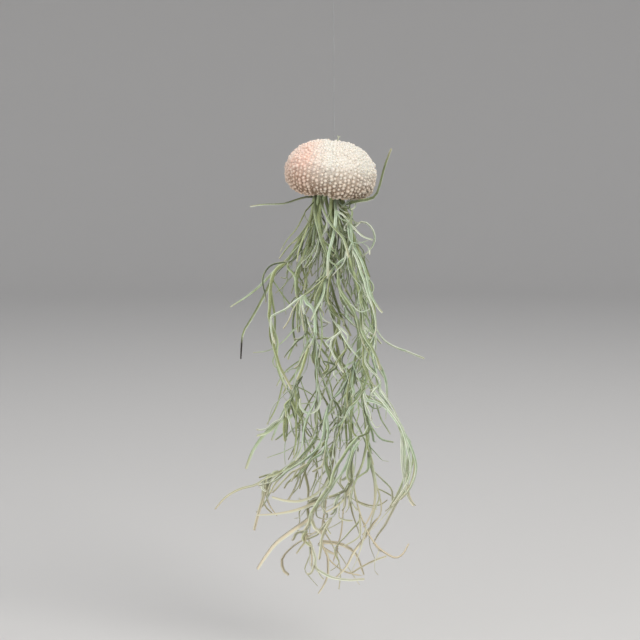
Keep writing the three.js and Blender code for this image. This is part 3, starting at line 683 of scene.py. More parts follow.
lime = Finish("urchin_lime")
low = lime.value("low")
rise = lime.value("rise")
clouds = lime.noise(9)
pinkness = lime.times(lime.value("pink"), lime.spread(clouds, 0.3, 0.65, 0.75))
colour = lime.mixed(pinkness, SHELL_CREAM, SHELL_PINK)
# Lower down the shell is painted tan: partly dust, partly painted shade on its underside.
tan_and_shade_share = lime.times(low, lime.spread(lime.noise(5), 0.25, 0.75, 0.4, 0.8))
colour = lime.mixed(tan_and_shade_share, colour, SHELL_TAN)
# Low on the shell, the wall between the knobs and the knobs' feet are painted darker: painted shade in
# the hollows, with some dirt.
hollow_shade_share = lime.times(lime.spread(rise, 0.1, 1.0, 0.8, 0.0), low)
colour = lime.mixed(hollow_shade_share, colour, SHELL_HOLLOW_SHADE)
# Painted highlight: the tops of the knobs are painted lighter.
colour = lime.mixed(lime.spread(rise, 0.5, 1.0, 0.0, 0.25), colour, SHELL_BEAD_HIGHLIGHT)
pore_side = lime.math('SUBTRACT', lime.math('ABSOLUTE', lime.value("pore_away")), PORE_PAIR_HALF)
pore_step = lime.math('PINGPONG', lime.value("arc"), PORE_STEP)
squares = lime.math('ADD', lime.times(pore_side, pore_side), lime.times(pore_step, pore_step))
pore = lime.times(
    lime.spread(lime.math('SQRT', squares), *PORE_RADII, 1.0, 0.0),
    lime.spread(rise, 0, 0.1, 1, 0),
)
colour = lime.mixed(lime.times(pore, 0.4), colour, SHELL_PORE)
speckle = lime.spread(lime.noise(0.8, 2), 0.35, 0.7, 0.0, 0.16)
colour = lime.mixed(speckle, colour, SHELL_TAN)
grain = lime.bumped(lime.noise(0.5, 4), 0.25, 0.35)
seams = lime.times(
    lime.spread(lime.math('ABSOLUTE', lime.value("wide_away")), 0.0, 0.35),
    lime.spread(lime.math('ABSOLUTE', lime.value("narrow_away")), 0.0, 0.3),
)
lime.surface({
    "Base Color": colour,
    "Normal": lime.bumped(lime.math('SUBTRACT', seams, pore), 0.3, 0.6, grain),
    "Roughness": 0.62,
    "Specular IOR Level": 0.4,
    "Subsurface Weight": 0.12,
    "Subsurface Radius": (0.0014, 0.001, 0.0007),
    "Subsurface Scale": 1,
})

for piece in (shell_wall, tubercles):
    piece.data.materials.append(lime.material)
    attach(piece, "root")
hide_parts("urchin_shell")

# ---- Moss stems ----
# Thirteen stems of thick-leaved Spanish moss. Their tops are gathered in the tie, they leave
# the shell's mouth side by side and hang down, each with its own bends. Each route is
# [across, away from the viewer, drop below the mouth], in millimetres.

MOSS_ORIGIN = Vector((-2.4, 0, -130.4)) * MM
MOUTH_CENTRE_X = -1.4
TIE_CENTRE_X = 2.2
STEM_TOP_DROP = -28.6
STEM_TIE_EXIT_DROP = -20
GATHERING = 0.67
STEM_TIED_RADIUS = 1.0
STEM_RADIUS = 1.3
STEM_END_RADIUS = 0.45
STEM_CLEARANCE = 0.7
PARTING_PASSES = 120
PARTING_SHARE = 0.4
PARTING_HEIGHT = 20  # pieces further apart in height than this can't touch
PINNED_POINTS = 5  # the first points of a stem, held in the tie and the mouth
LEAST_ROOM = 1e-9  # below it two pieces count as parallel

STEM_ROUTES = {
    "moss_stem_01": [
        (-9.2, 1, 0), (-11.5, 1, 13), (-17.5, 0, 25), (-25, -2, 37.5), (-32, -4, 43),
        (-35.6, -6, 54.5), (-36.4, -8, 69), (-34.6, -9, 83), (-33, -9, 93), (-29, -8, 104),
        (-24.5, -7, 113.5), (-22.3, -6, 123.5), (-21, -5, 135.5),
    ],
    "moss_stem_02": [
        (-6.8, -5.5, 0), (-8.6, -8, 12), (-11.5, -10, 25), (-16.5, -12, 36.5),
        (-20.6, -13, 46.5), (-19.6, -14, 59.5), (-17, -15, 72.5), (-13.5, -16, 85.5),
        (-15.5, -17, 98.5), (-20.5, -17, 111.5), (-24.5, -16, 125.5), (-27.3, -15, 141.5),
    ],
    "moss_stem_03": [
        (-5, 4.5, 0), (-6, 6, 14.5), (-4.8, 8, 29), (-1.4, 10, 42), (-5, 11, 55), (-8.8, 11, 68),
        (-9.2, 10, 81), (-9.8, 9, 94), (-8.2, 8, 107), (-8, 7, 119.5), (-8.6, 5, 132.5),
        (-8, 3, 145.5), (-15.5, 1, 156.5), (-27, -1, 165), (-40, -3, 171.5),
    ],
    "moss_stem_04": [
        (-2.5, -2, 0), (0.5, -5, 14.5), (0.6, -7, 29.5), (-1.4, -8, 44), (-3, -9, 59),
        (5.6, -9, 74), (1.4, -9, 88), (6.5, -9, 102), (10.4, -9, 116), (8.8, -10, 130),
        (4, -11, 144.5), (-2, -12, 158), (0, -13, 171), (-7.5, -14, 183.5), (-14.5, -15, 198),
        (-11.2, -16, 210.5), (-11, -16, 224.5),
    ],
    "moss_stem_05": [
        (0.5, 3, 0), (2, 5, 14.5), (1.4, 7, 28.5), (-0.6, 8, 43), (-3.4, 9, 57), (2, 10, 72),
        (3.6, 10, 88), (7.6, 9, 104), (10.6, 8, 118), (7.4, 7, 131.5), (3.4, 5, 144.5),
        (2.6, 3, 158.5), (-1, 1, 175), (-3, -1, 191), (-5, -4, 206.5), (-1, -6, 219.5),
        (9, -6, 228), (20, -6, 230.5),
    ],
    "moss_stem_06": [
        (3, -4.5, 0), (4.6, -8, 14.5), (9, -11, 28), (11.6, -12, 41.5), (18, -13, 53.5),
        (18.4, -14, 67.5), (20, -15, 81.5), (20, -15, 96.5), (21.6, -15, 109.5),
        (14.6, -14, 122.5), (12.6, -13, 137.5), (13.2, -12, 154), (14, -11, 170),
        (16.5, -11, 185), (22.5, -11, 202), (31, -11, 215),
    ],
    "moss_stem_07": [
        (5, 2.5, 0), (8.5, 2, 14), (13, 1, 28), (17, -1, 41), (21.6, -3, 54.5), (26, -4, 68.5),
        (27.2, -5, 81.5), (23.4, -5, 93.5), (22.6, -5, 105.5), (25.4, -5, 116.5),
        (22, -4, 127.5), (22.8, -3, 139.5), (23.4, -2, 154), (26, -2, 168), (30, -3, 181),
        (30.5, -4, 193.5), (19, -6, 206),
    ],
    "moss_stem_08": [
        (7.2, -1, 0), (11, -4, 12.5), (14.4, -5, 25.5), (19.4, -4, 39.5), (24, 0, 55),
        (27, 3, 70), (26, 6, 84.5), (21, 8, 98), (20.6, 9, 110), (19.5, 8, 120),
        (28.5, 6, 124.5), (38, 4, 131.5), (44, 3, 141.5), (49.5, 1, 152), (51.5, -1, 164),
        (47.5, -3, 177.5), (37, -6, 187.5),
    ],
    "moss_stem_09": [
        (2, 6.9, 0), (4, 10, 15), (8.4, 13, 29), (5.4, 16, 42.5), (5.4, 18, 56), (12, 19, 68),
        (17, 20, 81), (17.4, 20, 95), (13.6, 19, 108), (13.8, 18, 120), (11, 17, 132.5),
        (12.6, 15, 147.5), (13, 13, 161.5), (12.4, 11, 175), (8.6, 9, 191), (7, 6, 206.5),
        (2, 3, 224.5),
    ],
    "moss_stem_10": [
        (-3.5, 7.6, 0), (-8.4, 11, 15), (-13, 14, 27.5), (-17.4, 17, 40.5), (-20.2, 19, 54),
        (-18.6, 20, 67), (-16, 20, 80), (-13, 20, 93), (-17, 20, 106), (-20.6, 19, 119),
        (-18.2, 18, 133), (-16.2, 16, 146.5), (-15.4, 13, 161.5), (-20.5, 10, 174),
    ],
    "moss_stem_11": [
        (-3.6, -7.8, 0), (-7, -11, 12), (-5, -15, 24.5), (-1.4, -18, 37), (-3.8, -20, 50),
        (-8.4, -22, 63), (-9, -23, 76.5), (-9.2, -24, 90.5), (-7.8, -24, 104.5),
        (-8.2, -24, 118.5), (-13.4, -23, 131.5), (-16.6, -22, 146.5),
    ],
    "moss_stem_12": [
        (1, -8, 0), (0.8, -13, 12.5), (8, -17, 25), (11.6, -20, 37.5), (15.4, -21, 49.5),
        (17.8, -22, 62), (18.8, -23, 75.5), (20, -24, 88.5), (15.4, -24, 100.5),
        (13.6, -23, 113.5), (12.4, -22, 127.5), (12.6, -20, 145),
    ],
    "moss_stem_13": [
        (5.6, 5.9, 0), (10.4, 9, 15), (14.6, 13, 29), (18.6, 17, 43.5), (22.4, 19, 58),
        (26, 21, 72), (25.4, 23, 86), (20.6, 24, 99.5), (23.4, 25, 112.5), (20, 26, 124.5),
        (21.6, 25, 138.5), (22.6, 23, 152), (20.5, 21, 167),
    ],
}


def between(ends, share):
    return ends[0] + (ends[1] - ends[0]) * share


def routed(route):
    """A route of [across, away, drop] as points."""
    return np.array(route, float) * (1, 1, -1)


def stem_line(route):
    """A stem's centre line, from the tie through the mouth and down its route."""
    mouth_x, mouth_y = route[0][:2]
    tied_x = TIE_CENTRE_X + (mouth_x - MOUTH_CENTRE_X) * GATHERING
    tied_y = mouth_y * GATHERING
    lean = math.tan(SHELL_TILT)
    top_drop = STEM_TOP_DROP + lean * (tied_x - TIE_CENTRE_X)
    tied = [
        (tied_x, tied_y, top_drop),
        (tied_x - lean * (STEM_TIE_EXIT_DROP - top_drop), tied_y, STEM_TIE_EXIT_DROP),
    ]
    return smooth_line(routed([*tied, *route]), 2)


def nearest_approach(a, b, c, d):
    """Where straight pieces a-b and c-d come nearest: shares along both and the way between."""
    ab, cd, ca = b - a, d - c, a - c
    abab, cdcd, abcd = (ab * ab).sum(-1), (cd * cd).sum(-1), (ab * cd).sum(-1)
    abca, cdca = (ab * ca).sum(-1), (cd * ca).sum(-1)
    room = abab * cdcd - abcd * abcd
    is_skew = room > LEAST_ROOM
    s = np.clip((abcd * cdca - abca * cdcd) / np.where(is_skew, room, 1), 0, 1)
    s = np.where(is_skew, s, 0)
    t = (abcd * s + cdca) / cdcd
    s = np.where(t < 0, np.clip(-abca / abab, 0, 1), s)
    s = np.where(t > 1, np.clip((abcd - abca) / abab, 0, 1), s)
    t = np.clip(t, 0, 1)
    away = ca + ab * s[..., None] - cd * t[..., None]
    return s, t, away, np.sqrt((away * away).sum(-1))


def part_stems(stems):
    """Bends stems that come too near each other apart sideways, a little at a time."""
    counts = [len(stem["line"]) for stem in stems]
    starts = np.concatenate([[0], np.cumsum(counts)])
    piece_start = np.concatenate([np.arange(n - 1) + start for n, start in zip(counts, starts)])
    piece_number = np.concatenate([np.arange(count - 1) for count in counts])
    owner = np.repeat(np.arange(len(stems)), [count - 1 for count in counts])
    point_number = np.concatenate([np.arange(count) for count in counts])
    radius = np.concatenate([stem["radii"] for stem in stems])[piece_start]
    points = np.concatenate([stem["line"] for stem in stems])
    is_free = np.maximum(piece_number[:, None], piece_number) >= PINNED_POINTS
    others = (owner[:, None] < owner) & is_free
    for _ in range(PARTING_PASSES):
        level = points[piece_start, 2] + points[piece_start + 1, 2]
        first, second = np.nonzero(others & (np.abs(level[:, None] - level) <= 2 * PARTING_HEIGHT))
        i, j = piece_start[first], piece_start[second]
        s, t, away, distance = nearest_approach(points[i], points[i + 1], points[j], points[j + 1])
        missing = radius[first] + radius[second] + STEM_CLEARANCE - distance
        close = missing > 0
        if not close.any():
            break
        i, j, s, t = i[close], j[close], s[close][:, None], t[close][:, None]
        sideways = away[close] * (1, 1, 0)
        sideways = sideways / np.linalg.norm(sideways, axis=1)[:, None]
        push = sideways * missing[close][:, None] * PARTING_SHARE
        moves = np.zeros_like(points)
        for spot, share in ((i, 1 - s), (i + 1, s), (j, t - 1), (j + 1, -t)):
            np.add.at(moves, spot, push * share)
        points = points + moves * (point_number >= PINNED_POINTS)[:, None]
    for stem, start, count in zip(stems, starts, counts):
        stem["line"] = points[start:start + count]


stems = []
for name, route in STEM_ROUTES.items():
    line = stem_line(route)
    free_count = len(line) - 1 - PINNED_POINTS
    radii = [
        STEM_TIED_RADIUS if i < PINNED_POINTS - 1
        else between((STEM_RADIUS, STEM_END_RADIUS), max(0, (i - PINNED_POINTS) / free_count))
        for i in range(len(line))
    ]
    stems.append({"name": name, "line": line, "radii": np.array(radii), "leaves": []})
part_stems(stems)

# ---- Moss leaves ----
# Narrow, channelled, silvery leaves, one or two at each joint of a stem. Those that stand out
# from the bunch have their own routes. The others follow one rule, each with its own opening,
# curl, wave and length.

LEAF_RADIUS = 0.95
LEAF_TIP_RADIUS = 0.34
BUNCH_LENGTH = 240
NODE_SPACING = 18
FIRST_NODE = 9
LEAF_SPREAD = (0.65, 1.15)
STEM_TURN = 2.4
NODE_TURN = 2.6
LEAF_SWING = (-0.9, 0.9)
LEAF_TOP_DROP = 5
NEARBY = 5  # pieces further from a leaf than this can't touch it
BUNCH_OUTLINE = [  # drop, middle and half width of the bunch
    (0, 1, 11), (30, 0, 21), (60, -3, 33), (95, -4, 36), (140, -1, 40), (175, -2, 44),
    (205, 0, 42), (BUNCH_LENGTH, 0, 30),
]

TRACED_LEAVES = [
    ("moss_stem_01", [(-9.3, 0, 0.5), (-14, -1.5, 0.6), (-20, -2, 2.2), (-28, -3, 4.6), (-40, -4, 5),
        (-48, -4, 6.2)]),
    ("moss_stem_08", [(8.5, -3, 4.5), (14, -11.5, 2.8), (19, -13, 1.9), (24.6, -11.5, 0.9),
        (27.8, -8, -1.7), (29.8, -5, -7), (31.9, -2.5, -15.3), (33.7, -1, -21), (36.7, 0, -28.5)]),
    ("moss_stem_08", [(13, -4, 17.5), (20.4, -8, 15), (25.4, -9, 19), (26.8, -9, 26), (23.5, -9, 32),
        (18.5, -9, 36)]),
    ("moss_stem_01", [(-30.5, -4, 41), (-40.5, -6, 51.5), (-49, -7, 58.8), (-60, -8, 66)]),
    ("moss_stem_01", [(-33.5, -5, 48), (-40, -9, 61), (-46.8, -11, 73), (-52, -12, 82),
        (-53.4, -12, 97)]),
    ("moss_stem_01", [(-38.5, -8, 70), (-36, -17, 80), (-34, -20, 90), (-31, -22, 103), (-26, -24, 113)]),
    ("moss_stem_07", [(25, -5, 79), (30, -9, 85.5), (37, -11, 89.6), (46, -12, 92.6), (56.5, -13, 96.5)]),
    ("moss_stem_02", [(-18.5, -15, 75), (-24, -16, 80.5), (-29, -16.5, 86.5), (-37, -17, 91.5),
        (-46, -17, 92.5)]),
    ("moss_stem_11", [(-12, -24, 111), (-9.5, -28, 118), (-10.5, -29, 125), (-15.5, -29, 127),
        (-18.6, -29, 123), (-17.6, -29, 118)]),
    ("moss_stem_08", [(43, 4, 142), (44.6, 1, 152), (45, -2, 164), (43.6, -5, 176), (38, -8, 186),
        (33.5, -10, 190)]),
    ("moss_stem_08", [(48, 2, 151), (47.4, 7, 162), (47, 9, 176), (48.4, 9, 185), (52, 9, 190.5)]),
    ("moss_stem_07", [(22, -4, 134), (26, -8, 141), (31, -10, 146), (38.4, -11, 147.5)]),
    ("moss_stem_07", [(24.5, -2, 159), (27.5, -9, 172), (27, -12, 185), (23.5, -13, 194),
        (19.8, -13, 199)]),
    ("moss_stem_06", [(29, -11, 213), (38.4, -11, 218.6), (44, -11, 216.5), (48, -11, 209.5)]),
    ("moss_stem_09", [(3, 4, 220), (-8, 2, 212), (0, 1, 211.5), (8, 1, 213), (16, 1, 219), (21, 1, 232)]),
    ("moss_stem_03", [(-39, -3, 174.6), (-45, -4, 177), (-54, -5, 178.4), (-63, -6, 182.5),
        (-70, -6, 189.5)]),
    ("moss_stem_03", [(-37, -3, 174.4), (-39, -6, 183), (-42.5, -8, 192), (-46, -9, 202)]),
    ("moss_stem_03", [(-33, -2, 173.2), (-37.5, 1, 182), (-37, 2, 189), (-32.4, 2, 195.5)]),
    ("moss_stem_03", [(-11, 3, 157), (-16, -3, 168), (-21, -6, 178), (-26, -7, 184)]),
    ("moss_stem_04", [(-6, -12, 170), (-12, -17, 178), (-20, -19, 182), (-28, -20, 181.5),
        (-35, -20, 179)]),
    ("moss_stem_04", [(-8, -13, 182), (-20, -19, 186.5), (-32, -21, 189), (-44.4, -22, 190)]),
    ("moss_stem_04", [(-12, -15, 194), (-23, -23, 200), (-32, -27, 206), (-38, -29, 213),
        (-43.5, -30, 221)]),
    ("moss_stem_05", [(-3.6, -3, 202), (-14, 0, 209), (-23, 1, 215), (-28.8, 1, 222), (-28, 1, 229),
        (-25, 1, 232)]),
    ("moss_stem_01", [(-26.5, -6, 132), (-37, -5, 138), (-43, -5, 145), (-48, -5, 154), (-51, -5, 165)]),
    ("moss_stem_02", [(-27.5, -17, 117), (-32, -19, 130), (-38, -20, 139), (-43.8, -20, 142)]),
    ("moss_stem_10", [(-16, 19, 122), (-24, 22, 131), (-30, 25, 141), (-36, 27, 153)]),
    ("moss_stem_13", [(20, 25, 93), (28, 30, 103), (34, 33, 115), (36, 35, 128)]),
    ("moss_stem_13", [(15, 27, 118), (8, 34, 127), (3, 39, 138), (2, 42, 150)]),
]


def seeded_draws(seed):
    """An endless row of numbers from 0 to 1 that is the same for the same seed."""
    state = seed
    while True:
        state = (state * 1664525 + 1013904223) % 2 ** 32
        yield state / 2 ** 32


def unit(vector):
    return vector / np.linalg.norm(vector)


def turned_about(vector, axis, angle):
    """A vector turned about a unit axis."""
    along = axis * (axis @ vector)
    return along + (vector - along) * math.cos(angle) + np.cross(axis, vector) * math.sin(angle)


def leaf_radii(steps, root, tip):
    return between((root, tip), np.arange(steps + 1) / steps)


def nearest_on_stem(line, spot):
    """The point of a stem's centre line that lies nearest to a spot."""
    starts, ways = line[:-1], np.diff(line, axis=0)
    shares = np.clip(((spot - starts) * ways).sum(1) / (ways * ways).sum(1), 0, 1)
    points = starts + ways * shares[:, None]
    return points[np.argmin(np.linalg.norm(points - spot, axis=1))]


def traced_leaf(line, route):
    """A traced leaf starts on its stem's centre line, wherever parting has moved the stem."""
    points = routed(route)
    shift = nearest_on_stem(line, points[0]) - points[0]
    points = points + shift * (1 - np.arange(len(points)) / (len(points) - 1))[:, None]
    radii = leaf_radii(len(points) - 1, LEAF_RADIUS, LEAF_TIP_RADIUS)
    return {"points": points, "radii": radii}


def drawn_leaf(root, along, side_turn, draws, habit):
    """One candidate leaf from five draws. It leaves the stem at an opening angle, then turns
    outwards by its curl and swings sideways once by its wave."""
    spread_share = between(LEAF_SPREAD, -root[2] / BUNCH_LENGTH)
    swing = side_turn + between(LEAF_SWING, next(draws))
    opening = math.radians(between(habit["openings"], next(draws))) * spread_share
    curl = math.radians(between(habit["curls"], next(draws))) * spread_share
    wave = math.radians(between(habit["waves"], next(draws)))
    steps = habit["steps"]
    step = between(habit["lengths"], next(draws)) / steps
    level = np.array((math.cos(swing), math.sin(swing), 0))
    out = unit(level - along * (level @ along))
    hinge = np.cross(along, out)
    points = [root]
    for i in range(steps):
        share = (i + 0.5) / steps
        direction = turned_about(along, hinge, opening + curl * share * share)
        direction = turned_about(direction, out, wave * math.sin(2 * math.pi * share))
        points.append(points[-1] + direction * step)
    return {"points": np.array(points), "radii": leaf_radii(steps, *habit["radii"])}


def stays_in_bunch(points):
    drop = -points[1:, 2]
    levels, middles, halves = np.array(BUNCH_OUTLINE, float).T
    away = np.hypot(points[1:, 0] - np.interp(drop, levels, middles), points[1:, 1])
    is_hanging = (drop > LEAF_TOP_DROP) & (drop < BUNCH_LENGTH)
    return bool(np.all(is_hanging & (away < np.interp(drop, levels, halves))))


class Rods:
    """Straight pieces of all stems and leaves so far, with the stem that each belongs to."""

    def __init__(self):
        self.parts = [np.zeros((0, 8))]

    def add(self, owner, points, radii):
        count = len(points) - 1
        owners = np.full((count, 1), float(owner))
        self.parts.append(np.hstack([points[:-1], points[1:], np.array(radii)[:count, None], owners]))
        self.parts = [np.concatenate(self.parts)]

    def room_round(self, points, radii, owner=-1):
        """The least gap between a leaf and the pieces near it, its own stem's left out."""
        starts, ends = self.parts[0][:, 0:3], self.parts[0][:, 3:6]
        low, high = points.min(0) - NEARBY, points.max(0) + NEARBY
        near = np.all((np.minimum(starts, ends) < high) & (np.maximum(starts, ends) > low), axis=1)
        others = self.parts[0][near & (self.parts[0][:, 7] != owner)]
        if not len(others):
            return NEARBY
        distance = nearest_approach(
            points[:-1, None], points[1:, None], others[None, :, 0:3], others[None, :, 3:6],
        )[3]
        return float(np.min(distance - radii[:-1, None] - others[:, 6]))


def stem_nodes(line, spacing, first):
    """The joints of a stem: evenly spaced along it, from just below the mouth to its end."""
    nodes = []
    along = -first
    following = 0
    for a, b in zip(line[PINNED_POINTS - 1:-1], line[PINNED_POINTS:]):
        length = np.linalg.norm(b - a)
        while along + length >= following:
            share = min(max((following - along) / length, 0), 1)
            nodes.append((a + (b - a) * share, unit(b - a)))
            following += spacing
        along += length
    return nodes


def grow_leaf(number, root, along, side_turn, draws, habit):
    """Gives a stem the first candidate leaf that hangs in the bunch and has room, if any."""
    for _ in range(habit["tries"]):
        leaf = drawn_leaf(root, along, side_turn, draws, habit)
        room = rods.room_round(leaf["points"], leaf["radii"], number)
        if stays_in_bunch(leaf["points"]) and room >= habit["clearance"]:
            stems[number]["leaves"].append(leaf)
            rods.add(number, leaf["points"], leaf["radii"])
            break


main_habit = {
    "openings": (18, 50), "curls": (-55, 95), "waves": (-35, 35), "lengths": (24, 44),
    "radii": (LEAF_RADIUS, LEAF_TIP_RADIUS), "steps": 4, "tries": 24, "clearance": 0.4,
}
rods = Rods()
for number, stem in enumerate(stems):
    rods.add(number, stem["line"], stem["radii"])
stem_numbers = {stem["name"]: number for number, stem in enumerate(stems)}
for name, route in TRACED_LEAVES:
    number = stem_numbers[name]
    leaf = traced_leaf(stems[number]["line"], route)
    stems[number]["leaves"].append(leaf)
    rods.add(number, leaf["points"], leaf["radii"])
for number, stem in enumerate(stems):
    draws = seeded_draws(number + 1)
    for node, (root, along) in enumerate(stem_nodes(stem["line"], NODE_SPACING, FIRST_NODE)):
        side_turn = number * STEM_TURN + node * NODE_TURN
        grow_leaf(number, root, along, side_turn, draws, main_habit)

# ---- Front strands ----
# The leaves and long shoots that show at the front of the bunch, each along its own listed
# route on a sheet that faces the camera: [across, drop below the mouth], in millimetres. They
# lie round the bunch's front, each a little nearer or farther where others are in its way.

SHEET_DISTANCE = 1133.4
SHEET_MIDDLE = (-6, 74.4)

